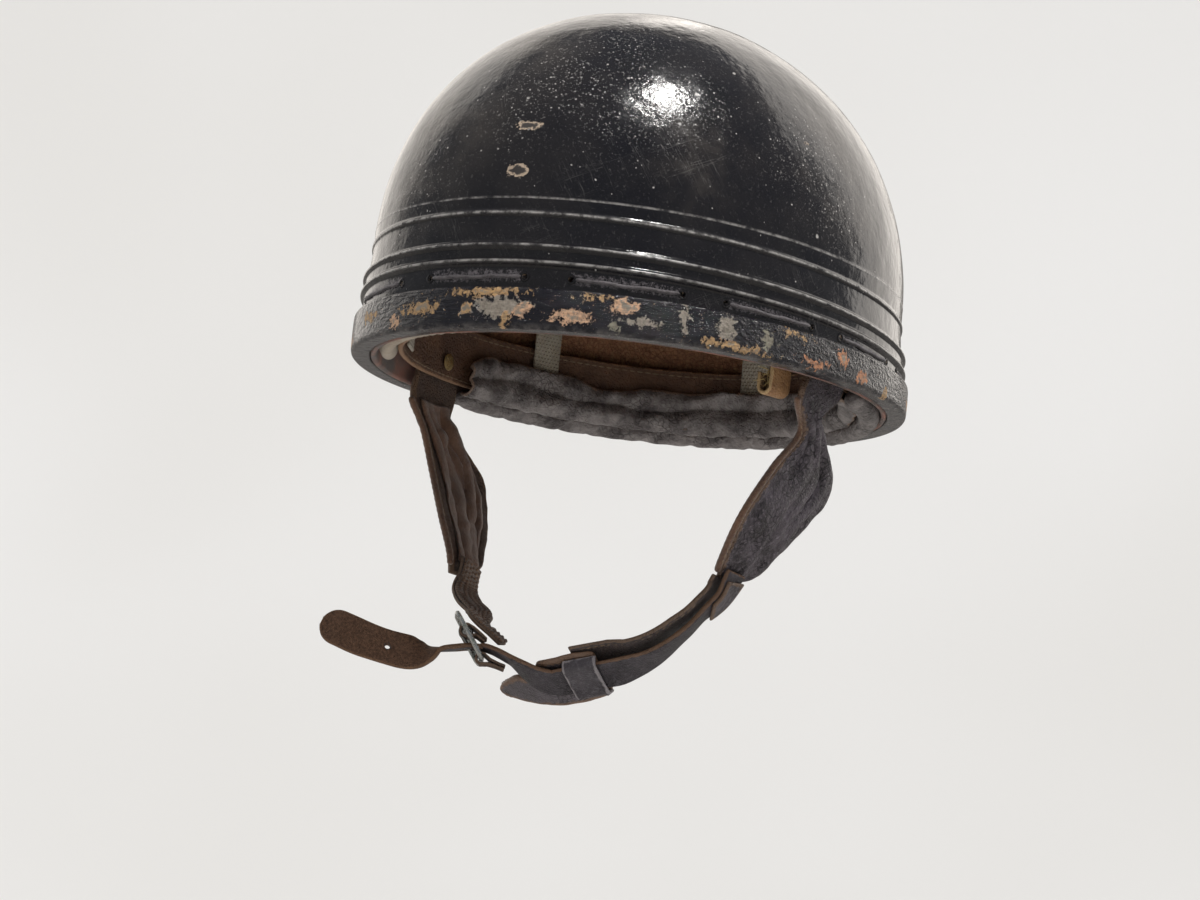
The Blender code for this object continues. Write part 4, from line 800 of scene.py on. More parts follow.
laceThread = makeFibre("lacingThread", dict(
    base=(0.05, 0.045, 0.048), second=(0.11, 0.10, 0.105), nap=1300.0, patch=220.0, fleck=0.6,
    fleckColour=(0.17, 0.155, 0.165), rough=0.75, depth=0.0003))
stitchThread = makeFibre("stitchThread", dict(
    base=(0.20, 0.14, 0.085), second=(0.12, 0.08, 0.05), nap=2600.0, patch=300.0, fleck=0.5,
    fleckColour=(0.30, 0.22, 0.14), rough=0.8, depth=0.0001))
darkThread = makeFibre("darkThread", dict(
    base=(0.06, 0.05, 0.048), second=(0.035, 0.03, 0.03), nap=2600.0, patch=300.0, fleck=0.5,
    fleckColour=(0.13, 0.11, 0.10), rough=0.8, depth=0.0001))
yellowFibre = makeFibre("yellowTuft", dict(
    base=(0.50, 0.36, 0.13), second=(0.34, 0.22, 0.08), nap=2200.0, patch=260.0, fleck=0.6,
    fleckColour=(0.62, 0.50, 0.26), rough=0.9, depth=0.0002))
rollCloth = makeCloth("paleCloth", dict(
    base=(0.42, 0.36, 0.28), second=(0.31, 0.24, 0.17), deep=(0.16, 0.12, 0.09), threads=1500.0,
    ribs=1.0, depth=0.00025))
webCloth = makeCloth("cottonWebbing", dict(
    base=(0.40, 0.36, 0.29), second=(0.28, 0.24, 0.185), deep=(0.13, 0.11, 0.085),
    threads=1100.0, ribs=0.55, depth=0.0004))
bandCloth = makeCloth("ribbedWebbing", dict(
    base=(0.14, 0.082, 0.054), second=(0.21, 0.13, 0.085), deep=(0.025, 0.014, 0.010),
    threads=420.0, ribs=2.2, depth=0.0009, stain=90.0))
brass = makeMetal("oldBrass", dict(metal=(0.52, 0.38, 0.17), stain=(0.11, 0.09, 0.05),
                                   patch=420.0, low=0.40, high=0.62, rough=0.28))
chrome = makeMetal("wornChrome", dict(metal=(0.62, 0.64, 0.62), stain=(0.09, 0.13, 0.09),
                                      patch=330.0, low=0.48, high=0.64, rough=0.16))
print("finishes made")

slotFinish = dict(black_lacquer=lacquer, chipped_lacquer=bandLacquer, grey_felt=felt, cork=cork,
                  lacing_thread=laceThread, tan_leather=tanLeather, pale_cloth=rollCloth,
                  cotton_webbing=webCloth, grey_leather=greyLeather, dark_leather=darkLeather,
                  brown_suede=suede, old_brass=brass, worn_chrome=chrome)


def standFor(piece, body, slot, *replaced):
    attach(piece, body)
    if replaced:
        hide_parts(*replaced)
    return piece


# ---- shell: two beads and a ridge above the rim, then the dome
# crests gives the strength of the pale line on each raised line: partly rubbed lacquer, partly
# painted highlight
shellSet = dict(crown=0.162, domeFoot=0.046, domeInset=0.0051, domePower=2.1, wall=0.005,
                outerInset=0.0032, innerInset=0.0082, footHeight=0.0019, grooveTilt=1.0,
                ridgeTilt=2.8, bandHeight=0.0145, lowerBead=0.0213, upperBead=0.0281,
                beadRise=0.0017, beadHalf=0.0019, ridge=0.0418, ridgeRise=0.0007,
                ridgeHalf=0.0016, fineLine=0.0503, fineRise=0.00016, fineHalf=0.0006,
                columns=400, unevenness=0.00025, shoulder=0.0246, tiltEnd=0.0626,
                crestWidth=0.00042, grooveHalf=0.0019,
                crests=dict(lowerBead=0.8, upperBead=0.8, ridge=1.0, fineLine=0.8))
laceSet = dict(height=0.0173, tilt=1.9, pairs=12, spacing=0.019, holeRadius=0.0012,
               radius=0.0006, outerRadius=0.0008, innerInset=0.0118, rimGap=0.0004,
               rimTube=0.0005, drillDepth=0.016, steps=26, samples=2401)
noChip = -0.01   # chip mark of points that no chip reaches
speckZones = [  # centre in millimetres, reach, strength
    (21, -109, 108, 20, 1.0), (6, -120, 93, 16, 0.7), (43, -111, 90, 13, 0.6),
    (56, -95, 100, 21, 0.9), (99, -34, 89, 20, 0.9), (104, -27, 75, 16, 0.8),
    (93, -52, 83, 12, 0.5), (-40, -120, 66, 22, 0.35), (28, -88, 130, 22, 0.5),
    (-95, 30, 90, 24, 0.7), (-60, 105, 95, 26, 0.6), (50, 100, 110, 24, 0.7), (0, 40, 158, 30, 0.5)]
hazeZones = [
    (-31, -115, 92, 26, 1.0), (-20, -99, 121, 28, 0.9), (-45, -118, 62, 26, 0.9),
    (75, -92, 69, 13, 0.7), (74, -88, 86, 14, 0.6), (104, -22, 78, 20, 0.7), (97, -30, 96, 20, 0.6),
    (-90, 40, 80, 34, 0.8), (30, 120, 90, 36, 0.7), (-30, 30, 155, 34, 0.6)]
domeChips = [  # centre in millimetres, half width and half height
    (12.5, -122.5, 85.6, 5.6, 2.1), (11.9, -127.8, 65.7, 4.3, 2.8), (94.3, -38.4, 96.8, 1.4, 1.0),
    (-70, 96, 88, 4.0, 2.4), (84, 66, 92, 3.2, 2.0)]


def beads(height, *lines):
    # cosine bells at the heights of some lines, each with its half width and rise
    for line, size in lines:
        share = np.clip((height - shellSet[line]) / shellSet[size + "Half"], -1, 1)
        yield shellSet[size + "Rise"] * np.cos(share * pi / 2) ** 1.3


def shellSurface(angle, level):
    # level 0 to 1 is the wall from its foot to the dome, 1 to 2 the dome up to its crown
    s = shellSet
    wall = np.minimum(level, 1.0)
    height = s["footHeight"] + (s["domeFoot"] - s["footHeight"]) * wall
    middleInset = (s["outerInset"] + s["domeInset"]) / 2
    inset = np.interp(height, [0, s["upperBead"] - s["beadHalf"], s["upperBead"] + s["beadHalf"],
                               s["ridge"] - s["ridgeHalf"], 1.0],
                      [s["outerInset"], s["outerInset"], middleInset, s["domeInset"],
                       s["domeInset"]])
    for rise in beads(height, ("lowerBead", "bead"), ("upperBead", "bead"), ("ridge", "ridge")):
        inset = inset - rise
    turn = np.maximum(level - 1.0, 0.0) * pi / 2
    share = np.cos(turn) ** (2 / s["domePower"])
    height = height + (s["crown"] - s["domeFoot"]) * np.sin(turn) ** (2 / s["domePower"])
    inset = inset - next(beads(height, ("fineLine", "fine")))
    tilt = np.radians(np.interp(height, [0, s["bandHeight"], s["lowerBead"] - s["beadHalf"],
                                         s["ridge"] + s["ridgeHalf"], s["tiltEnd"]],
                                [0, s["grooveTilt"], s["ridgeTilt"], s["ridgeTilt"], 0.0]))
    return rimPoint(inset, height, angle, tilt, share), height


def domeRow(inset, top, angle, turn):
    # a row of the inner dome, of the given inset and top, at a turn up from its foot
    s = shellSet
    share, rise = (f(turn) ** (2 / s["domePower"]) for f in (cos, sin))
    return rimPoint(inset, s["domeFoot"] + (top - s["domeFoot"]) * rise, angle, 0.0, share)


def zoneMark(points, zones):
    total = np.zeros(points.shape[:-1])
    for x, y, z, reach, strength in zones:
        far = ((points - np.array([x, y, z]) / 1000) ** 2).sum(-1) / (reach / 1000) ** 2
        total = np.maximum(total, strength * np.exp(-far))
    return total


def chipMark(points, chips):
    # how far inside the nearest ellipse a point lies, in metres
    total = np.full(points.shape[:-1], noChip)
    for x, y, z, width, tall in chips:
        centre = np.array([x, y, z]) / 1000
        out = unit(centre - np.array([0, 0, 0.05]))
        side = unit(np.cross(upAxis, out))
        up = np.cross(out, side)
        gap = points - centre
        far = np.sqrt(((gap @ side) * 1000 / width) ** 2 + ((gap @ up) * 1000 / tall) ** 2
                      + ((gap @ out) / 0.006) ** 2)
        total = np.maximum(total, (1 - far) * min(width, tall) / 1000)
    return total


def makeShell(s):
    wallTop = (s["bandHeight"] - 0.001 - s["footHeight"]) / (s["domeFoot"] - s["footHeight"])
    level = np.concatenate([np.linspace(0, wallTop, 4), np.linspace(wallTop, 1.0, 78)[1:],
                            1 + np.linspace(0, 1, 132)[1:-1] ** 1.6])
    angle = ringAngles(s["columns"])
    outer, height = shellSurface(angle[None], level[:, None] + 0 * angle[None])
    # pale lines on the crests of the raised lines, partly rubbed lacquer and partly painted
    # highlight, and the groove under each outer run of the thread
    crestRubAndShine = np.maximum.reduce([
        strength * np.exp(-((height - s[line]) / s["crestWidth"]) ** 2)
        for line, strength in s["crests"].items()])
    pitch = evenAngles(11, s["outerInset"])[1] / laceSet["pairs"]
    run = (np.arange(s["columns"]) / s["columns"] * laceSet["pairs"]) % 1.0
    between = smoothStep(0.48, 0.62, np.abs(run - 0.5) * 2 * pitch / (2 * laceSet["spacing"]) * 1.2)
    groove = np.exp(-((height - laceSet["height"]) / s["grooveHalf"]) ** 4) * between[None]
    out = unit(np.cross(np.gradient(outer, axis=1), np.gradient(outer, axis=0)))
    out *= np.sign((out * outer).sum())
    fade = smoothStep(0.03, 0.06, outer[..., 2])
    outer = outer + out * (ripple(outer, 0.055, 3, 2) * s["unevenness"] * fade)[..., None]
    inset = s["domeInset"] + s["wall"]
    turns = np.linspace(0, pi / 2, 26)[1:-1]
    foot = [rimPoint(s["innerInset"], h, angle) for h in (s["footHeight"], s["shoulder"])]
    foot += [rimPoint(inset, s["domeFoot"], angle)]
    top = s["crown"] - s["wall"]
    dome = [domeRow(inset, top, angle, t) for t in turns]
    points = np.concatenate([outer[::-1], np.array(foot + dome)], 0)
    marks = dict(specked=zoneMark(points, speckZones), hazed=zoneMark(points, hazeZones),
                 chip=chipMark(points, domeChips))
    bare = np.zeros((len(foot) + len(dome), s["columns"]))
    marks["crestRubAndShine"], marks["groove"] = (np.concatenate([m[::-1], bare]) for m in (crestRubAndShine, groove))
    return gridPiece("shellFine", points, capStart=(0, 0, s["crown"]), capEnd=(0, 0, top),
                     marks=marks, material=lacquer)


def laceHoles(s):
    # pairs of holes at equal steps along the lace line
    angle, length = evenAngles(s["samples"], shellSet["outerInset"])
    pitch = length / s["pairs"]
    first = pitch * np.arange(s["pairs"]) + (pitch - s["spacing"]) / 2
    runs = np.stack([first, first + s["spacing"]], -1).ravel()
    at = np.interp(runs, np.linspace(0, length, s["samples"]), angle)
    outside, inside = (rimPoint(inset, s["height"], at, radians(s["tilt"]))
                       for inset in (shellSet["outerInset"], s["innerInset"]))
    inside[:, 2] = outside[:, 2]
    return runs, outside, inside


def cutPrisms(piece, rings):
    # takes away prisms between two end rings each: rings (copies, 2, corners, 3)
    low = np.arange(rings.shape[2])
    high = low + len(low)
    walls = np.stack([low, np.roll(low, -1), np.roll(high, -1), high], -1)
    cut = piece.modifiers.new("cut", "BOOLEAN")
    cut.operation, cut.solver = "DIFFERENCE", "EXACT"
    cut.object = copiedSolid("cutter", rings.reshape(len(rings), -1, 3),
                             [walls, np.stack([low[::-1], high])])
    bpy.context.view_layer.update()
    view = bpy.context.evaluated_depsgraph_get()
    mesh = bpy.data.meshes.new_from_object(piece.evaluated_get(view))
    bpy.data.objects.remove(cut.object)
    piece.modifiers.clear()
    piece.data = mesh


def drillPiece(piece, centres, axes, radius, depth, sides=12):
    # round holes with their middles at the centres
    axes = unit(axes)
    first = unit(np.cross(axes, [0.1, 0.2, 0.97]))
    circle = circleIn(first, np.cross(axes, first), sides)
    cutPrisms(piece, np.stack([centres[:, None] + circle * radius + axes[:, None] * depth * k
                               for k in (-0.5, 0.5)], 1))


shell = makeShell(shellSet)
holeRuns, holeOut, holeIn = laceHoles(laceSet)
drillPiece(shell, (holeOut + holeIn) / 2, holeOut - holeIn, laceSet["holeRadius"],
           laceSet["drillDepth"])
standFor(shell, "helmet", "black_lacquer", "shell_dome")


def makeHoleRims(places, outs):
    # a low ring of pushed-up lacquer round each lace hole: a torus half in the wall
    around, section, tube = 14, 6, laceSet["rimTube"]
    ring = laceSet["holeRadius"] + laceSet["rimGap"]
    a = (np.arange(around) / around * tau)[:, None]
    b = (np.arange(section) / section * tau)[None, :]
    local = np.stack(np.broadcast_arrays((ring + tube * np.cos(b)) * np.cos(a),
                                         (ring + tube * np.cos(b)) * np.sin(a),
                                         tube * 0.8 * np.sin(b)), -1)
    outs = unit(outs)
    side = unit(np.cross(upAxis, outs))
    points = inFrames(local.reshape(-1, 3), places, side, np.cross(outs, side), outs)
    quads = quadsOf(indexGrid(around, section, 1, 1))[:, [0, 3, 2, 1]]
    marks = dict(chip=np.full(points.size // 3, noChip))
    return copiedSolid("laceHoleRims", points, [quads], marks, lacquer)


standFor(makeHoleRims(holeOut, holeOut - holeIn), "helmet", "black_lacquer")
print("shell made")

# ---- rim band: chips as (angle, height mm, half width mm, half height mm, hue 0 to 4)
bandChips = [
    (-86.7, 12.6, 11.0, 0.9, 0), (-82.3, 7.4, 9.0, 2.8, 2), (-79.0, 6.6, 4.4, 2.2, 1),
    (-81.4, 5.4, 1.9, 3.6, 0), (-68.0, 5.0, 6.6, 2.0, 1), (-58.2, 10.8, 4.4, 2.0, 1),
    (-54.8, 5.6, 4.8, 1.1, 2), (-59.8, 2.8, 1.6, 1.1, 3), (-38.3, 8.5, 2.8, 3.6, 2),
    (-37.0, 2.6, 8.0, 1.1, 0), (-29.7, 6.8, 1.8, 2.6, 3), (-17.7, 3.2, 3.4, 0.9, 4),
    (-10.3, 8.5, 2.0, 2.4, 4), (-3.9, 3.8, 2.4, 1.6, 4), (6.7, 2.0, 1.8, 1.8, 0),
    (-90.6, 6.5, 2.2, 1.4, 0), (-102.6, 7.6, 8.0, 1.6, 0), (-110.0, 4.0, 3.2, 1.4, 1),
    (-122.0, 8.0, 5.0, 1.6, 0), (-46.8, 9.5, 1.4, 3.0, 2), (-62.5, 12.6, 5.0, 0.7, 0),
    (-24.0, 12.2, 4.0, 0.8, 0), (28.0, 6.0, 5.0, 1.8, 1), (47.0, 10.0, 3.4, 1.8, 0),
    (66.0, 4.0, 6.0, 1.6, 2), (88.0, 9.0, 4.6, 2.2, 1), (104.0, 5.0, 3.0, 2.6, 0),
    (121.0, 10.0, 6.0, 1.0, 0), (140.0, 5.0, 4.4, 2.0, 4), (163.0, 8.0, 3.6, 1.8, 2),
    (-172.0, 4.0, 5.0, 1.4, 1), (-150.0, 8.0, 3.4, 2.2, 0), (-138.0, 3.4, 5.0, 1.2, 1)]
rimSet = dict(height=0.0145, thickness=0.0026, footThickness=0.0016, footWidth=0.0082,
              lowRound=0.0017, topRound=0.0012, columns=1300, seam=-46.2, lap=0.00035,
              wrinkle=0.00028, swell=0.00025)


def bandSection(s):
    # outline of the strip, once round: outer face, top edge, inner face, foot under the shell
    quarter = np.linspace(0, pi / 2, 6)
    low, top = s["lowRound"], s["topRound"]
    under = s["footThickness"]
    points = [(low * (1 - sin(t)), low * (1 - cos(t))) for t in quarter]
    points += [(0.0, h) for h in np.linspace(low, s["height"] - top, 22)[1:-1]]
    points += [(top * (1 - cos(t)), s["height"] - top * (1 - sin(t))) for t in quarter]
    points += [(s["thickness"], s["height"] - 0.0001), (s["thickness"], under + 0.003),
               (s["thickness"], under), ((s["thickness"] + s["footWidth"]) / 2, under),
               (s["footWidth"] - under / 2, under)]
    turns = np.linspace(0, pi, 6)[1:-1]
    points += [(s["footWidth"] - under / 2 + under / 2 * sin(t),
                under / 2 + under / 2 * cos(t)) for t in turns]
    points += [(x, 0.0) for x in np.linspace(s["footWidth"] - under / 2, low, 8)[:-1]]
    return np.array(points)


def makeRimBand(s):
    section = bandSection(s)
    angle = ringAngles(s["columns"])
    inset, height = section[:, :1], section[:, 1:]
    tilt = np.radians(1.0) * np.clip(height / s["height"], 0, 1)
    points = rimPoint(inset, height, angle, tilt)
    outs = rimNormal(angle)[None]
    degrees = np.degrees(angle)
    past = (degrees - s["seam"] + 180) % 360 - 180
    face = smoothStep(0.0030, 0.0012, inset) * smoothStep(-0.0002, 0.0015, height)
    # long wavy creases along the strip, strongest on the left of the wearer beyond the seam
    crumple = np.exp(-((past - 22) / 26) ** 2) * 0.8 + 0.35
    flat = points * np.array([1, 1, 3.2])
    wave = ripple(flat, 0.026, 5, 3) * crumple
    swell = np.sin(np.clip(height / s["height"], 0, 1) * pi)
    lap = np.where(past > 0, s["lap"] * np.exp(-past / 9.0), 0.0)
    groove = -0.0006 * np.exp(-(past / 0.22) ** 2)
    push = (wave * s["wrinkle"] + swell * s["swell"] + lap + groove) * face
    points = points + outs * push[..., None]
    chip = np.full(points.shape[:-1], noChip)
    hue = np.zeros(points.shape[:-1])
    run = points[..., 2] - tiltRise(points[..., 1], tilt)
    for centre, high, width, tall, tone in bandChips:
        away = ((degrees - centre + 180) % 360 - 180)[None]
        along = np.radians(away) * np.linalg.norm(points[..., :2], axis=-1) * 1000
        far = np.sqrt((along / (width * 1.25)) ** 2 + ((run * 1000 - high) / (tall * 1.2)) ** 2)
        depth = (1 - far) * min(width, tall) / 1000
        depth = np.where(inset < s["thickness"], depth, noChip)
        nearer = depth > chip
        hue = np.where(nearer, (tone + 0.5) / 5, hue)
        chip = np.maximum(chip, depth)
    dull = np.clip(smoothStep(0.0026, 0.0002, height) + 0 * angle, 0, 1)
    dull = np.maximum(dull, 0.5 * smoothStep(0.0130, 0.0145, height) + 0 * angle)
    dull = np.maximum(dull, smoothStep(0.0005, 0.002, inset) + 0 * angle)
    left = smoothStep(0.5, 4.0, past) * smoothStep(64.0, 50.0, past)
    rear = smoothStep(-150.0, -140.0, past) * smoothStep(-62.0, -75.0, past)
    return gridPiece("rimBandFine", points, closeRows=True, material=bandLacquer, marks=dict(
        chip=chip, hue=hue, dull=dull, crumpled=face * (left + 0.5 * rear)))


standFor(makeRimBand(rimSet), "helmet", "chipped_lacquer", "rim_band")

# ---- rim lining, thread and cork
liningSet = dict(outerInset=0.0085, innerInset=0.0109, height=0.0246, columns=500)
corkSet = dict(thickness=0.006, foot=0.0254, gap=0.0003, columns=180)


def makeRimLining(s):
    # a felt strip with a rounded top, its face uneven and drawn in at each stitch of the thread
    radius = (s["innerInset"] - s["outerInset"]) / 2
    shoulder = s["height"] - radius
    section = [(s["outerInset"], h) for h in np.linspace(0.0006, shoulder, 10)]
    section += [(s["outerInset"] + radius - radius * cos(t), shoulder + radius * sin(t))
                for t in np.linspace(0, pi, 7)[1:]]
    section += [(s["innerInset"], h) for h in np.linspace(shoulder, 0.0012, 22)[1:]]
    section += [(s["innerInset"] - 0.0004, 0.0004), (s["innerInset"] - 0.0014, 0.0),
                (s["outerInset"] + 0.0003, 0.0001)]

    def drawnIn(points, section):
        inner = smoothStep(s["outerInset"] + 0.0016, s["innerInset"], section[:, :1])
        dent = np.maximum.reduce([np.exp(-((points - hole) ** 2).sum(-1) / 0.0035 ** 2)
                                  for hole in holeIn])
        return (ripple(points, 0.02, 8, 3) * 0.00022 + 0.0006 * dent) * inner

    lining = ringSolid("rimLiningFine", np.array(section), s["columns"], drawnIn, material=felt)
    drillPiece(lining, (holeOut + holeIn) / 2, holeOut - holeIn, laceSet["holeRadius"],
               laceSet["drillDepth"], 8)
    return lining


def makeRimLace(s):
    # the thread runs outside from pair to pair and inside across each pair
    angleOf, length = evenAngles(s["samples"], shellSet["outerInset"])
    half = np.linspace(0, pi, s["steps"])
    outer = shellSet["outerInset"] - s["radius"] * 0.6
    path, outs, radii = [], [], []
    for number in range(s["pairs"]):
        first, second = holeRuns[2 * number], holeRuns[2 * number + 1]
        following = holeRuns[2 * number + 2] if number < s["pairs"] - 1 else length + holeRuns[0]
        for start, end, inset in ((first, second, s["innerInset"] - 0.0003),
                                  (second, following, outer)):
            runs = np.linspace(start, end, s["steps"]) % length
            at = np.interp(runs, np.linspace(0, length, s["samples"]), angleOf)
            bow = np.sin(half) ** 0.3
            other = s["innerInset"] - 0.0003 if inset == outer else outer
            depth = np.where(bow > 0.6, inset, inset + (other - inset) * (0.6 - bow) / 1.2)
            place = rimPoint(depth, s["height"], at, radians(s["tilt"]))
            drop = 0.0005 * np.sin(half) ** 2
            place[:, 2] += (0.0002 * np.sin(runs * 400)) - (drop if inset == outer else 0)
            path.append(place)
            outs.append(rimNormal(at))
            radii.append(np.where(depth <= outer + 1e-6, s["outerRadius"], s["radius"]))
    path, outs, radii = (np.concatenate(part) for part in (path, outs, radii))
    return tubeSolid("rimLaceFine", path, radii, outs, 10, closed=True, material=laceThread)


def makeCork(s):
    a = shellSet
    outerInset = a["domeInset"] + a["wall"] + s["gap"]
    angle = ringAngles(s["columns"])
    top = a["crown"] - a["wall"] - s["gap"]
    turns = np.linspace(0, pi / 2, 24)[1:-1]
    footShare = (s["foot"] - a["shoulder"]) / (a["domeFoot"] - a["shoulder"])
    footInset = a["innerInset"] + (a["domeInset"] + a["wall"] - a["innerInset"]) * footShare

    def wall(inset, foot, height):
        rows = [rimPoint(foot, s["foot"], angle), rimPoint(inset, a["domeFoot"], angle)]
        return np.array(rows + [domeRow(inset, height, angle, t) for t in turns])

    outer = wall(outerInset, footInset + s["gap"], top)
    inner = wall(outerInset + s["thickness"], footInset + s["thickness"], top - s["thickness"])
    # cork slabs meet in six seams that run up to the crown
    seams = np.abs(((angle / tau * 6) % 1.0) - 0.5) * 2
    groove = np.exp(-((1 - seams) / 0.035) ** 2) * 0.0008
    heights = np.clip(inner[..., 2:] / 0.05 - 0.5, 0, 1)
    inner = inner * (1 + (groove[None, :, None] / 0.1) * heights * [1, 1, 0])
    points = np.concatenate([outer[::-1], inner], 0)
    return gridPiece("corkFine", points, capStart=(0, 0, top),
                     capEnd=(0, 0, top - s["thickness"]), material=cork)


standFor(makeRimLining(liningSet), "helmet", "grey_felt", "rim_lining")
standFor(makeRimLace(laceSet), "helmet", "lacing_thread", "rim_lace")
standFor(makeCork(corkSet), "helmet", "cork", "cork_lining")
print("rim made")

# ---- inside: headband, roll, curtain, tab, cradle
headSet = dict(outerInset=0.0197, innerInset=0.0221, foot=0.004, top=0.030, columns=520,
               stitchStep=0.0042)
rollSet = dict(inset=0.0153, halfWidth=0.0039, halfHeight=0.0050, middle=0.0064, arc=60.0)
curtainSet = dict(inset=0.0153, foot=0.0056, height=0.0186, arc=83.0, thickness=0.0014,
                  rollInset=0.0160, rollRadius=0.0048, rollMiddle=0.0003, fold=0.0024, folds=9,
                  columns=420, rollRows=520, rollSides=36, pleat=0.019)
tuckSet = dict(inset=0.0262, arc=(4.0, 176.0), thickness=0.0012, folds=15, outline=[
    (0.0215, 0.0012), (0.0238, 0.0004), (0.0264, 0.0022), (0.0282, 0.0055), (0.0272, 0.0088),
    (0.0262, 0.0105), (0.0275, 0.0130), (0.0283, 0.0160), (0.0266, 0.0188), (0.0258, 0.0192)])
tabSet = dict(inset=0.0238, angle=-15.5, width=0.0125, thickness=0.0018, top=0.017, drop=0.011,
              foot=0.004, bend=0.0032, tufts=90, tuftLength=0.0052, tuftRadius=0.00016)
cradleSet = dict(count=6, width=0.014, thickness=0.0014, inset=0.0236,
                 tuck=0.022, foot=0.030, ringHeight=0.1215, ringRadius=0.018, laceRadius=0.0014)
pivotSet = dict(back=-0.006, height=0.012, rivetRadius=0.0016, headRadius=0.0038,
                headThickness=0.0009, outerHead=0.1014, innerHead=0.0908, washerInner=0.0985,
                washerOuter=0.0993, washerRadius=0.0044, bore=0.002, hangerMiddle=0.10035,
                hangerThickness=0.0015, hangerHalf=0.009, hangerFoot=0.003, hangerTop=0.024)


def stripSection(inner, outer, low, top):
    # rounded strip on edge: up the outer face, over, down the inner face, and back under
    radius = abs(inner - outer) / 2
    middle = (inner + outer) / 2
    turn = np.linspace(0, pi, 9)
    rise = np.linspace(low + radius, top - radius, 16)
    points = [(outer, h) for h in rise]
    points += [(middle - radius * cos(t), top - radius + radius * sin(t))
               for t in turn[1:]]
    points += [(inner, h) for h in rise[::-1][1:]]
    points += [(middle + radius * cos(t), low + radius - radius * sin(t))
               for t in turn[1:-1]]
    return np.array(points)


def makeHeadband(s):
    section = stripSection(s["innerInset"], s["outerInset"], s["foot"], s["top"])
    edge = np.minimum(section[:, 1] - s["foot"], s["top"] - section[:, 1])
    flesh = (section[:, 0] < (s["innerInset"] + s["outerInset"]) / 2).astype(float)
    band = ringSolid(
        "headbandFine", section, s["columns"],
        lambda points, section: ripple(points, 0.03, 12, 3) * 0.00022,
        dict(edge=edge, flesh=flesh), headbandLeather)
    p = pivotSet
    centres = np.array([[x, p["back"], p["height"]] for x in (-0.0935, 0.0935)])
    drillPiece(band, centres, np.array([[1.0, 0, 0], [1.0, 0, 0]]), p["bore"], 0.008, 16)
    standFor(band, "helmet", "tan_leather", "headband")
    for word, height in (("Top", s["top"] - 0.0026), ("Low", s["foot"] + 0.0022)):
        angle = evenAngles(int(0.74 / s["stitchStep"]), s["innerInset"])[0]
        places = rimPoint(s["innerInset"] + 0.00005, height + 0 * angle, angle)[:-1]
        runs = np.gradient(places, axis=0)
        row = stitchRow("headbandStitch" + word, places, runs, -rimNormal(angle[:-1]),
                        s["stitchStep"] * 0.7, 0.00032, material=stitchThread)
        standFor(row, "helmet", "lacing_thread")


def makeForeheadRoll(s):
    # ellipse carried along the front of the rim, gathered into small folds, closed at its ends
    arc = radians(s["arc"])
    start, end = -pi / 2 - arc, -pi / 2 + arc
    length = evenAngles(11, s["inset"], start, end)[1]
    shares = crowded(length, 0.006, 0.0009)
    fine = np.linspace(start, end, 3001)
    runs = pathRuns(planPoint(s["inset"], fine))
    angle = np.interp(shares * runs[-1], runs, fine)
    close = rounded(np.minimum(shares, 1 - shares) * length, 0.006) * 0.97 + 0.03
    turn = np.arange(28) / 28 * tau
    wave = 1 + 0.05 * np.sin(shares * length * 1100 + 1.5 * np.sin(shares * length * 170))
    size = (close * wave)[:, None]
    inset = s["inset"] + s["halfWidth"] * np.cos(turn)[None] * np.minimum(size, 1.0)
    height = s["middle"] + s["halfHeight"] * np.sin(turn)[None] * size * 0.97
    points = rimPoint(inset, height, angle[:, None])
    ends = [rimPoint(s["inset"], s["middle"], a) for a in (start, end)]
    roll = gridPiece("foreheadRollFine", points, capStart=ends[0],
                     capEnd=ends[1], material=rollCloth)
    standFor(roll, "helmet", "pale_cloth", "forehead_roll")


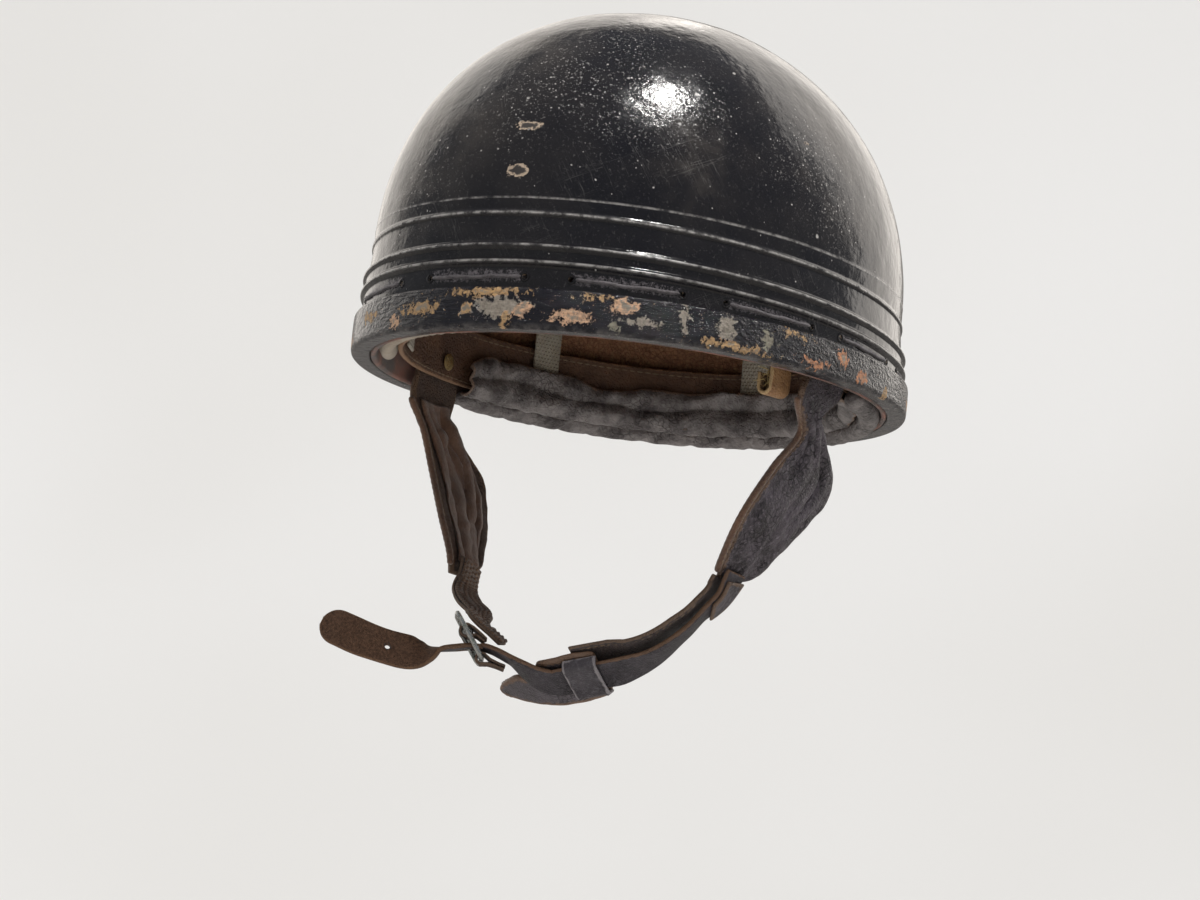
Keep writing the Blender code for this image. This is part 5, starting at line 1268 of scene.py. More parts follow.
def makeCurtain(s):
    # the curtain is tucked up in slanting folds; each fold leans a little further on its way up
    arc = radians(s["arc"])
    start, end = pi / 2 - arc, pi / 2 + arc
    columns = s["columns"]
    angle, length = evenAngles(columns, s["inset"], start, end)
    share = np.linspace(0, 1, columns)[None]
    level = crowded(s["height"], s["thickness"] / 2, 0.001)[:, None]
    phase = share * tau * s["folds"] + 2.6 * level + 1.3 * np.sin(share * 31)
    fold = np.sin(phase) * 0.75 + 0.25 * np.sin(2 * phase + 1.0)
    fold = fold * s["fold"] * (0.55 + 0.45 * np.sin(share * 19 + 1)) * (1 - 0.5 * level)
    fade = np.clip(np.minimum(share, 1 - share) * 12, 0, 1)
    inset = s["inset"] + fold * fade
    surface = rimPoint(inset, s["foot"] + s["height"] * level, angle)
    surface[..., 2] += 0.0007 * np.sin(share * 47) * level
    sheet = sheetSolid("neckCurtainFine", surface, s["thickness"], outward=unit(surface)[0, 0],
                       material=curtainLeatherPaintedLight)
    runs = np.linspace(0, 1, s["rollRows"])
    at = np.interp(runs, np.linspace(0, 1, columns), angle)
    d = np.minimum(runs, 1 - runs) * length
    close = rounded(d, 0.012) * 0.82 + 0.18
    close = close * np.sqrt(1 - (1 - np.clip(d / 0.0015, 0, 1)) ** 2 * 0.98)
    turn = (np.arange(s["rollSides"]) / s["rollSides"] * tau)[None]
    # pleats run slantwise round the roll, deepest on its inner lower side
    slant = ((runs * length / s["pleat"])[:, None] * tau + 1.2 * turn
             + 2 * np.sin(runs * 23)[:, None])
    pleat = 1 - 0.17 * np.clip(np.sin(slant), 0, 1) ** 3 * (0.5 + 0.5 * np.cos(turn + 0.6))
    pleat = pleat - 0.05 * (0.5 + 0.5 * np.sin(runs * 190)[:, None])
    size = s["rollRadius"] * close[:, None] * pleat
    points = rimPoint(s["rollInset"] + size * np.cos(turn), s["rollMiddle"] + size * np.sin(turn),
                      at[:, None])
    ends = [rimPoint(s["rollInset"], s["rollMiddle"], a) for a in (at[0], at[-1])]
    roll = gridPiece("curtainRollFine", points, capStart=ends[0],
                     capEnd=ends[1], material=curtainLeatherPaintedLight,
                     marks=dict(edge=np.full(points.shape[:2], 0.01),
                                flesh=np.zeros(points.shape[:2])))
    standFor(roll, "helmet", "grey_leather", "curtain_roll")
    standFor(sheet, "helmet", "grey_leather", "neck_curtain")


def makeTuck(s):
    # the curtain's upper part is turned in under the headband and tucked up in two soft folds
    start, end = (radians(a) for a in s["arc"])
    columns = 300
    angle = evenAngles(columns, s["inset"], start, end)[0]
    share = np.linspace(0, 1, columns)[None]
    outline = np.array(s["outline"])
    levels = crowded(pathRuns(outline)[-1], s["thickness"] / 2, 0.0009)
    curve = routeCurve(outline)
    fine = np.linspace(0, len(outline) - 1, 800)
    run = pathRuns(curve(fine))
    section = curve(np.interp(levels * run[-1], run, fine))
    away = np.clip(levels * 1.6 - 0.35, 0, 1)[:, None]
    fade = np.clip(np.minimum(share, 1 - share) * 9, 0, 1) ** 0.5
    bend = share + 0.045 * (levels[:, None] - 0.5) + 0.012 * np.sin(share * 23 + 2)
    wave = np.sin(bend * tau * s["folds"] + 1.6 * np.sin(bend * 19))
    strength = 0.0019 * (0.55 + 0.45 * np.sin(share * 31 + 4 * levels[:, None]))
    inset = section[:, :1] + strength * wave * away * fade
    inset = inset + 0.0011 * (np.sin(share * 88 + 5 * levels[:, None]) * np.sin(share * 29)) * fade
    top = section[:, 1:].max()
    height = section[:, 1:] * (0.55 + 0.45 * fade) + 0.0024 * np.sin(share * 14 + 1) * away
    height = height + 0.0012 * np.sin(share * 41 + 6 * levels[:, None]) * away * fade
    inset = np.maximum(inset, section[:, :1].min())
    surface = rimPoint(inset, np.minimum(height, top), angle)
    wrinkle = ripple(surface * np.array([1, 1, 0.4]), 0.008, 17, 3) * 0.0005
    tuck = sheetSolid("curtainTuck", surface, s["thickness"], bump=(wrinkle, -wrinkle),
                      material=curtainLeatherPaintedLight)
    standFor(tuck, "helmet", "grey_leather")


def ribbonSolid(name, centres, edges, halfWidths, thickness, step=0.0012, crown=0.0, **rest):
    # strip whose rows run from -edge to +edge; crown bows the middle outwards
    width = 2 * float(np.max(halfWidths))
    across = crowded(width, thickness / 2, step) * 2 - 1
    runs = unit(np.gradient(centres, axis=0))
    edges = squareTo(edges, runs)
    outs = unit(np.cross(runs, edges))
    half = np.broadcast_to(halfWidths, len(centres))[:, None, None]
    surface = centres[:, None] + edges[:, None] * across[None, :, None] * half
    surface = surface + outs[:, None] * (1 - across[None, :, None] ** 2) * crown
    return sheetSolid(name, surface, thickness, outward=outs[len(outs) // 2], **rest)


def resample(points, step, *tables):
    # points of a path a step apart, close together at both ends, with tables that go along it
    points = np.asarray(points, float)
    curve = routeCurve(points)
    fine = np.linspace(0, len(points) - 1, 40 * len(points))
    run = pathRuns(curve(fine))
    shares = crowded(run[-1], 0.0009, step)
    stations = np.interp(shares * run[-1], run, fine)
    return [curve(stations)] + [routeCurve(t)(stations) for t in tables]


def makeTab(s):
    angle = radians(s["angle"])
    point = planPoint(s["inset"], np.array(angle))
    nearby = planPoint(s["inset"], np.array(angle + 0.017))
    along = np.append(unit(nearby - point), 0.0)
    inward = np.array([-along[1], along[0], 0.0])
    bottom = s["foot"] - s["drop"] + s["bend"]
    outline = [(0.0, s["top"]), (0.0, (s["top"] + bottom) / 2), (0.0, bottom)]
    outline += [(s["bend"] * (1 - cos(pi * k)),
                 bottom - s["bend"] * sin(pi * k)) for k in (0.25, 0.5, 0.75)]
    outline += [(2 * s["bend"], bottom), (2 * s["bend"], bottom + s["drop"] / 2)]
    centre = np.append(point, 0.0)
    places = np.array([centre + inward * a + np.array([0, 0, h]) for a, h in outline])
    places, = resample(places, 0.0008)
    edges = np.broadcast_to(along, places.shape)
    tab = ribbonSolid("headbandTabFine", places, edges, s["width"] / 2, s["thickness"], 0.001,
                      material=tanLeather)
    standFor(tab, "helmet", "tan_leather", "headband_tab")
    # tufts of yellow fibre come out of the folded end
    chance = np.random.default_rng(7)
    count, rows, sides = s["tufts"], 6, 5
    low = centre + inward * s["bend"] + np.array([0, 0, bottom + s["drop"] * 0.30])
    start = (low + along * chance.uniform(-0.5, 0.5, (count, 1)) * s["width"] * 0.8
             + inward * chance.uniform(-0.7, 0.7, (count, 1)) * s["bend"] * 0.6
             + upAxis * chance.uniform(-0.5, 0.9, (count, 1)) * s["drop"] * 0.4)
    way = unit(along * chance.normal(0.0, 0.9, (count, 1))
               + inward * chance.normal(0.3, 0.6, (count, 1))
               + upAxis * chance.normal(-0.2, 0.6, (count, 1)))
    curl = unit(chance.normal(size=(count, 3)))
    t = np.linspace(0, 1, rows)[None, :, None]
    length = s["tuftLength"] * chance.uniform(0.5, 1.0, (count, 1, 1))
    path = start[:, None] + way[:, None] * t * length + curl[:, None] * t ** 2 * length * 0.5
    first = unit(np.cross(way, curl))
    circle = circleIn(first, np.cross(way, first), sides)
    radius = s["tuftRadius"] * np.array([1, 1, 1, 0.9, 0.7, 0.2])[None, :, None, None]
    points = path[:, :, None] + circle[:, None] * radius
    index = indexGrid(rows, sides, 0, 1)
    tuft = copiedSolid("tabTufts", points.reshape(count, -1, 3),
                       [quadsOf(index), index[:1, -2::-1], index[-1:, :-1]], None, yellowFibre)
    standFor(tuft, "helmet", "pale_cloth")


def makeCradle(s):
    # each strap rises as a superellipse arc and turns back round the lace at the crown
    power = shellSet["domePower"]
    turnRadius = s["laceRadius"] + 0.0003 + s["thickness"] / 2
    corners = []
    for number in range(s["count"]):
        angle = np.array(tau * (number + 0.5) / s["count"])
        foot = planPoint(s["inset"], angle)
        reach = float(np.linalg.norm(foot))
        out = foot / reach
        profile = [(reach, s["foot"] - s["tuck"]), (reach, s["foot"] - s["tuck"] / 2),
                   (reach, s["foot"])]
        rise = s["ringHeight"] - turnRadius - s["foot"]
        lastTurn = acos(((s["ringRadius"] + 3 * turnRadius) / reach) ** (power / 2))
        for k in range(1, 9):
            turn = lastTurn * k / 8
            profile.append((reach * cos(turn) ** (2 / power),
                            s["foot"] + rise * sin(turn) ** (2 / power)))
        for k in range(7):
            turn = -pi / 2 - pi * k / 6
            profile.append((s["ringRadius"] + turnRadius * cos(turn),
                            s["ringHeight"] + turnRadius * sin(turn)))
        profile.append((s["ringRadius"] + 2 * turnRadius, s["ringHeight"] + turnRadius))
        profile = np.array(profile)
        centres = np.column_stack([out * profile[:, :1], profile[:, 1]])
        sideEdge = np.array([-out[1], out[0], 0.0])
        near = planPoint(s["inset"], angle + 0.017) - foot
        footEdge = unit(np.append(near, 0.0))
        share = np.clip((reach - profile[:, :1]) / (reach - s["ringRadius"]), 0, 1)
        edges = unit(footEdge * (1 - share) + sideEdge * share)
        centres, edges = resample(centres, 0.0016, edges)
        strap = ribbonSolid("cradleStrapFine%d" % (number + 1), centres, edges, s["width"] / 2,
                            s["thickness"], 0.0014, material=webCloth)
        standFor(strap, "helmet", "cotton_webbing", "cradle_strap_%d" % (number + 1))
        middle = np.append(out * s["ringRadius"], s["ringHeight"])
        corners += [middle - sideEdge * s["width"] * 0.55, middle + sideEdge * s["width"] * 0.55]
    corners = np.array(corners)
    middles = (corners + np.roll(corners, -1, 0)) / 2
    path = np.stack([corners, middles], 1).reshape(-1, 3)
    steps = np.linspace(0, 1, 9)[:-1]
    path = np.concatenate([path[k] + (path[(k + 1) % len(path)] - path[k]) * steps[:, None]
                           for k in range(len(path))])
    around = np.arange(len(path)) / len(path) * tau * 40
    thick = s["laceRadius"] * (0.92 + 0.06 * np.sin(around))
    lace = tubeSolid("crownLaceFine", path, thick, upAxis, 12, closed=True,
                     material=laceThread)
    standFor(lace, "helmet", "lacing_thread", "crown_lace")


def makePivots(s):
    headTurn = np.linspace(0, pi / 2, 7)
    for word, side in (("left", 1.0), ("right", -1.0)):
        centre = np.array([0.0, s["back"], s["height"]])
        head, thick = s["headRadius"], s["headThickness"]
        profile = [(s["outerHead"] + thick * cos(t), head * sin(t)) for t in headTurn[1:]]
        profile += [(s["outerHead"], head * 0.97), (s["outerHead"], s["rivetRadius"]),
                    (s["innerHead"], s["rivetRadius"]), (s["innerHead"], head * 0.97)]
        profile += [(s["innerHead"] - thick * sin(t), head * cos(t))
                    for t in headTurn[:-1]]
        rivet = turnedSolid(word + "RivetFine", profile, centre, (side, 0, 0), (0, 0, 1), 36, brass)
        standFor(rivet, "helmet", "old_brass", word + "_pivot_rivet")
        turn = np.arange(40) / 40 * tau
        inner, outer = s["washerInner"], s["washerOuter"]
        ring = np.array([(inner, s["bore"]), (outer, s["bore"]), (outer, s["washerRadius"] * 0.94),
                         ((outer + inner) / 2, s["washerRadius"]),
                         (inner, s["washerRadius"] * 0.94)])
        points = np.stack(np.broadcast_arrays(
            side * ring[:, :1], s["back"] + ring[:, 1:] * np.cos(turn),
            s["height"] + ring[:, 1:] * np.sin(turn)), -1)
        washer = gridPiece(word + "WasherFine", points, closeRows=True,
                           material=brass)
        standFor(washer, "helmet", "old_brass", word + "_pivot_washer")
        length = s["hangerTop"] - s["hangerFoot"]
        shares = crowded(length, 0.0028, 0.0010)
        height = s["hangerFoot"] + shares * length
        near = np.minimum(shares, 1 - shares) * length
        half = s["hangerHalf"] - 0.0028 * (1 - rounded(near, 0.0028))
        across = crowded(2 * s["hangerHalf"], 0.0008, 0.0011) * 2 - 1
        surface = np.stack(np.broadcast_arrays(
            np.full((len(height), 1), side * s["hangerMiddle"]),
            s["back"] + half[:, None] * across[None], height[:, None] + 0 * across[None]), -1)
        hanger = sheetSolid(word + "HangerFine", surface, s["hangerThickness"],
                            outward=(side, 0, 0), material=tanLeather)
        drillPiece(hanger, np.array([[side * s["hangerMiddle"], s["back"], s["height"]]]),
                   np.array([[1.0, 0, 0]]), s["bore"], 0.006, 16)
        standFor(hanger, "helmet", "tan_leather", word + "_hanger_tab")


makeHeadband(headSet)
makeForeheadRoll(rollSet)
makeCurtain(curtainSet)
makeTuck(tuckSet)
makeTab(tabSet)
makeCradle(cradleSet)
makePivots(pivotSet)
print("inside made")

# ---- harness: places are shares of its reach to the side, to the front and down
harnessReach = np.array([0.0967, 0.060, 0.130])
flapSet = dict(thickness=0.003, bulge=0.003, step=0.0008, liningThickness=0.0012,
               bindingRadius=0.0015, gap=0.0003, stitch=0.0030)
flapTables = dict(
    leftFront=[(1, -.27, .150), (.998, -.37, .040), (.985, -.45, -.055), (.946, -.24, -.155),
               (.890, -.44, -.290), (.822, -.625, -.455), (.7135, -.523, -.588),
               (.659, -.417, -.641)],
    leftRear=[(1, .13, .150), (.998, .16, .040), (.985, .15, -.055), (.942, .14, -.155),
              (.895, .45, -.290), (.832, .25, -.430), (.7187, .06, -.581), (.659, -.033, -.641)],
    rightFront=[(-1, -.27, .150), (-.998, -.37, .040), (-.985, -.43, -.055), (-.946, -.33, -.155),
                (-.890, -.30, -.290), (-.780, -.38, -.455), (-.685, -.45, -.590),
                (-.662, -.49, -.655)],
    rightRear=[(-1, .13, .150), (-.998, .16, .040), (-.985, .17, -.055), (-.946, .22, -.155),
               (-.900, .43, -.290), (-.800, .30, -.450), (-.695, .02, -.590),
               (-.662, -.09, -.655)],
    bulge=[0, 0, .3, .8, 1, 1, .6, 0],
    gather=dict(left=0.50, right=0.18))


def flapSurface(word, side, stations, shares):
    # between the two edges, bowed outwards by 4 u (1 - u) times the bulge, then creased
    s = flapSet
    front = routeCurve(np.array(flapTables[word + "Front"]) * harnessReach)(stations)
    rear = routeCurve(np.array(flapTables[word + "Rear"]) * harnessReach)(stations)
    bulge = routeCurve(np.array(flapTables["bulge"], float)[:, None])(stations) * s["bulge"]
    u = shares[None, :, None]
    pinch = flapTables["gather"][word] * np.exp(-((stations - 2.55) / 0.62) ** 2)
    taper = 1 - 0.42 * smoothStep(6.1, 7.0, stations)
    drawn = u * ((1 - pinch) * taper)[:, None, None]
    surface = front[:, None] * (1 - drawn) + rear[:, None] * drawn
    normals = surfaceNormals(surface, (side, 0, 0))
    surface = surface + normals * 4 * u * (1 - u) * bulge[:, None]
    normals = surfaceNormals(surface, (side, 0, 0))
    free = smoothStep(1.7, 3.0, stations)[:, None] * smoothStep(7.0, 5.6, stations)[:, None]
    seed = 21 if side > 0 else 31
    at, across = stations[:, None], shares[None]
    # folds run down the flap: two slow waves across it, gathers at the pinch, one deep valley
    crease = 0.0007 * np.sin(tau * (2.4 * across + 0.22 * np.sin(1.7 * at) + 0.07 * at))
    crease = crease + 0.0004 * np.sin(tau * (5.2 * across - 0.21 * at + 0.3))
    crease = crease + 0.0034 * pinch[:, None] * np.sin(tau * (3.2 * across + 0.1 * at))
    valley = np.exp(-((across - 0.70 + 0.05 * (at - 4)) / 0.05) ** 2)
    crease = crease - 0.0030 * valley * smoothStep(2.4, 3.0, at) * smoothStep(5.2, 4.4, at)
    slit = np.exp(-((across - 0.42) / 0.05) ** 2 - ((at - 3.15) / 0.16) ** 2)
    crease = crease - 0.0024 * slit + ripple(surface, 0.011, seed, 3) * 0.00035
    crease = crease * free * smoothStep(0.0, 0.12, shares)[None]
    surface = surface + normals * crease[..., None]
    return surface, surfaceNormals(surface, (side, 0, 0))


def makeFlap(word, side, body):
    s = flapSet
    stations = crowded(0.115, s["thickness"] / 2, s["step"]) * 7
    shares = crowded(0.036, s["thickness"] / 2, s["step"])
    surface, normals = flapSurface(word, side, stations, shares)
    flap = sheetSolid(word + "EarFlapFine", surface, s["thickness"], outward=(side, 0, 0),
                      material=greyLeather)
    p = pivotSet
    drillPiece(flap, np.array([[side * 0.0967, p["back"], p["height"]]]),
               np.array([[1.0, 0, 0]]), p["bore"], 0.012, 16)
    standFor(flap, body, "grey_leather", word + "_ear_flap")
    step = s["thickness"] / 2 + s["gap"] + s["liningThickness"] / 2
    some = (stations >= 2.0) & (stations <= 6.3)
    inner = (shares >= 0.12) & (shares <= 0.88)
    part = (surface - normals * step)[some][:, inner]
    folds = ripple(part * np.array([1, 0.35, 2.2]), 0.012, 44, 3) * 0.00035
    lining = sheetSolid(word + "FlapLiningFine", part, s["liningThickness"], outward=(side, 0, 0),
                        bump=(0 * folds, -np.abs(folds)), material=suede)
    standFor(lining, body, "brown_suede", word + "_flap_lining")
    # the bound front edge: a rolled strip with a row of stitches along it
    along = np.linspace(2.0, 6.5, 150)
    edge, edgeNormals = flapSurface(word, side, along, np.array([0.0, 0.02, 0.04]))
    runs = unit(np.gradient(edge[:, 0], axis=0))
    out = squareTo(unit(edge[:, 0] - edge[:, 1]), runs)
    route = edge[:, 0] + out * s["bindingRadius"] * 0.45
    run = pathRuns(route)
    close = rounded(np.minimum(run, run[-1] - run), 0.0012) * 0.9 + 0.1
    wavy = 1 - 0.06 * (0.5 + 0.5 * np.sin(run * 2100))
    binding = tubeSolid(word + "BindingFine", route, s["bindingRadius"] * close * wavy,
                        edgeNormals[:, 0], 14, material=suede)
    standFor(binding, body, "brown_suede", word + "_flap_binding")
    at = np.interp(np.arange(0.004, run[-1] - 0.004, s["stitch"]), run, np.arange(len(run)))
    pick = partial(interpRows, at, np.arange(len(run)))
    for name, way in (("Outer", edgeNormals[:, 0]), ("Inner", -edgeNormals[:, 0])):
        places = pick(route + way * s["bindingRadius"] * 0.93)
        row = stitchRow(word + "Stitch" + name, places, pick(runs), pick(way), 0.0021, 0.00028,
                        lean=0.25, material=stitchThread)
        standFor(row, body, "lacing_thread")


makeFlap("left", 1.0, "left_harness")
makeFlap("right", -1.0, "right_harness")
print("flaps made")

# ---- chin strap
buckleCentre = np.array([-0.357, -0.967, -0.869]) * harnessReach
buckleYaw, bucklePitch = radians(32.3), radians(56)
barAxis = np.array([-sin(buckleYaw), cos(buckleYaw), 0.0])
levelAxis = np.array([cos(buckleYaw), sin(buckleYaw), 0.0])
strapSet = dict(width=0.0156, thickness=0.0022, step=0.0010, barDrop=0.0062, hole=0.0012,
                slotLength=0.0086, slotWidth=0.0038, holeStation=23,
                straightStart=(.338, -.767, -.968), straightEnd=(.078, -.843, -1.015))
strapRoute = [(.737, -.370, -.619), (.680, -.383, -.696), (.634, -.475, -.755),
              (.593, -.542, -.810), (.557, -.592, -.848), (.512, -.642, -.887),
              (.463, -.683, -.918), (.407, -.722, -.944)]
strapTwist = [(.030, -.878, -1.012), (-.009, -.910, -1.002), (-.054, -.932, -.985),
              (-.109, -.940, -.965), (-.173, -.915, -.942)]
strapTail = [(-.446, -1.075, -.934), (-.482, -1.133, -.948), (-.533, -1.208, -.956),
             (-.616, -1.300, -.946), (-.707, -1.400, -.927), (-.797, -1.467, -.902),
             (-.879, -1.517, -.880)]
strapEdges = [(-.10, .97, -.18), (-.35, .90, -.29), (-.483, .836, -.262), (-.457, .862, -.219),
              (-.408, .888, -.210), (-.313, .919, -.241), (-.213, .927, -.310),
              (-.128, .888, -.442), (-.023, .842, -.539), (-.023, .842, -.539),
              (-.023, .842, -.539), (-.023, .842, -.539), (-.451, .727, -.517),
              (-.482, .764, -.429), (-.353, .853, -.384), (-.108, .917, -.383), (0, .95, -.30),
              (-.534, .845, 0), (-.534, .845, 0), (-.534, .845, 0), (-.50, .84, .10),
              (-.40, .65, .55), (-.15, .35, .90), (.10, .45, .90), (.20, .40, .90),
              (.25, .35, .90), (.25, .30, .90)]


def atBuckle(level, up):
    return buckleCentre + levelAxis * level + upAxis * up


def strapPlaces(s):
    start, end = (np.array(s[k]) * harnessReach for k in ("straightStart", "straightEnd"))
    drop = s["barDrop"]
    places = [np.array(p) * harnessReach for p in strapRoute]
    places += [start + (end - start) * k / 3 for k in range(4)]
    places += [np.array(p) * harnessReach for p in strapTwist]
    places += [atBuckle(1.6 * drop, -1.11 * drop), atBuckle(.56 * drop, -drop),
               atBuckle(-.65 * drop, -1.16 * drop)]
    places += [np.array(p) * harnessReach for p in strapTail]
    return np.array(places)


strapCurve, strapEdgeCurve = routeCurve(strapPlaces(strapSet)), routeCurve(strapEdges)


def alongStrap(stations, inward=0.0, frontward=0.0):
    # centres, edge and outward directions beside the strap at station numbers
    stations = np.asarray(stations, float)
    centres, edges = strapCurve(stations), strapEdgeCurve(stations)
    runs = unit(strapCurve(stations + 0.01) - strapCurve(stations - 0.01))
    edges = squareTo(edges, runs)
    outs = unit(np.cross(runs, edges))
    shift = np.broadcast_to(np.asarray(inward, float), len(stations))[:, None]
    return centres - outs * shift - edges * frontward, edges, outs, runs


def strapStations(first, last, step, rounding):
    fine = np.linspace(first, last, 2000)
    run = pathRuns(strapCurve(fine))
    return np.interp(crowded(run[-1], rounding, step) * run[-1], run, fine)


def prismCut(piece, outline, centre, xAxis, yAxis, depth):
    # takes away a prism with the outline in the plane of two axes
    outline, normal = np.asarray(outline, float), np.cross(xAxis, yAxis)
    flat = centre + outline[:, :1] * xAxis + outline[:, 1:] * yAxis
    cutPrisms(piece, np.stack([flat - normal * depth / 2, flat + normal * depth / 2])[None])


def roundedOutline(halfX, halfY, radius, steps=5):
    outline = []
    for quarter, (x, y) in enumerate([(1, 1), (-1, 1), (-1, -1), (1, -1)]):
        turn = pi / 2 * (quarter + np.linspace(0, 1, steps))
        outline.append(np.stack([x * (halfX - radius) + radius * np.cos(turn),
                                 y * (halfY - radius) + radius * np.sin(turn)], -1))
    return np.concatenate(outline)


def makeStrap(s):
    centres, edges, outs = alongStrap(strapStations(0, 26, s["step"], s["thickness"] / 2))[:3]
    toEnd = pathRuns(centres)[-1] - pathRuns(centres)
    half = s["width"] / 2
    wavy = 1 + 0.012 * np.sin(pathRuns(centres) * 310)
    widths = half * np.maximum(rounded(toEnd, half), 0.22) * wavy
    fine = ripple(centres, 0.03, 61, 3)[:, None] * 0.0002
    strap = ribbonSolid("chinStrapFine", centres + outs * fine, edges, widths, s["thickness"],
                        0.0011, crown=0.0003, material=strapLeather)
    prismCut(strap, roundedOutline(s["slotLength"] / 2, s["slotWidth"] / 2, s["slotWidth"] / 2.2),
             atBuckle(0.15 * s["barDrop"], -s["barDrop"]), levelAxis, barAxis, s["width"] / 2)
    place, edge, out = alongStrap([s["holeStation"]])[:3]
    drillPiece(strap, place, out, s["hole"], 0.008, 14)
    standFor(strap, "left_harness", "grey_leather", "chin_strap")


def bandDepth(stations):
    # further in at the pad's end and at the tip of the flap
    return (0.0052 + 0.0017 * np.clip(stations - 7, 0, 1) - 0.0012 * smoothStep(4, 2, stations)
            + 0.0010 * smoothStep(1.9, 0.9, stations))


innerBandSet = dict(stations=(0.42, 10.0), thickness=0.0022, frontward=0.0023, wider=0.0022,
                    narrowing=0.38, stitches=(2.1, 9.9), stitchStep=0.0029, stitchFront=0.0045,
                    stitchAcross=-0.0064, stitchOut=0.00112)


def makeInnerBand(s):
    stations = strapStations(*s["stations"], 0.0011, s["thickness"] / 2)
    centres, edges = alongStrap(stations, bandDepth(stations), s["frontward"])[:2]
    widths = (strapSet["width"] / 2 + s["wider"]) * (
        1 - s["narrowing"] + s["narrowing"] * smoothStep(0.0, 0.020, pathRuns(centres)))
    band = ribbonSolid("innerBandFine", centres, edges, widths, s["thickness"], 0.0011,
                       material=darkLeather)
    standFor(band, "left_harness", "brown_suede", "left_inner_band")
    # a row of stitches along its front edge
    fine = np.linspace(*s["stitches"], 1500)
    depth, step = bandDepth(fine), s["stitchStep"]
    run = pathRuns(alongStrap(fine, depth, s["stitchFront"])[0])
    at = np.interp(np.arange(step, run[-1] - step, step), run, fine)
    centres, edges, outs, runs = alongStrap(at, np.interp(at, fine, depth), s["stitchFront"])
    places = centres + edges * s["stitchAcross"] + outs * s["stitchOut"]
    row = stitchRow("innerBandStitch", places, runs, outs, 0.0022, 0.00026, lean=0.12,
                    material=stitchThread)
    standFor(row, "left_harness", "lacing_thread")


def makeStrapTab():
    centres, edges = alongStrap(strapStations(0.3, 1.8, 0.0008, 0.0008), -0.0022)[:2]
    tab = ribbonSolid("strapTabFine", centres, edges, 0.007, 0.0016, 0.001, material=greyLeather)
    standFor(tab, "left_harness", "grey_leather", "left_strap_tab")


padSet = dict(length=0.056, halfHeight=0.014, thickness=0.0026, place=0.819, depth=0.0036,
              bow=0.673, bowStart=0.107, loopLength=0.0146, loopBack=0.0083,
              loopThickness=0.0014, height=0.028, step=0.0009, rounding=0.0013, pinch=0.0022,
              stitchInset=0.09, stitchEnd=0.045, stitchStep=0.0030)
padStations = [-.259, -.161, -.054, .054, .143, .205, .25, .295, .375, .464, .554, .643, .705]
padTops = [-.729, -.793, -.80, -.743, -.729, -.607, -.107, .157, .157, .25, .571, .964, 1.286]
padBottoms = [1.10, 1.20, 1.271, 1.286, 1.30, 1.314, 1.336, 1.357, 1.407, 1.457, 1.521, 1.586,
              1.571]


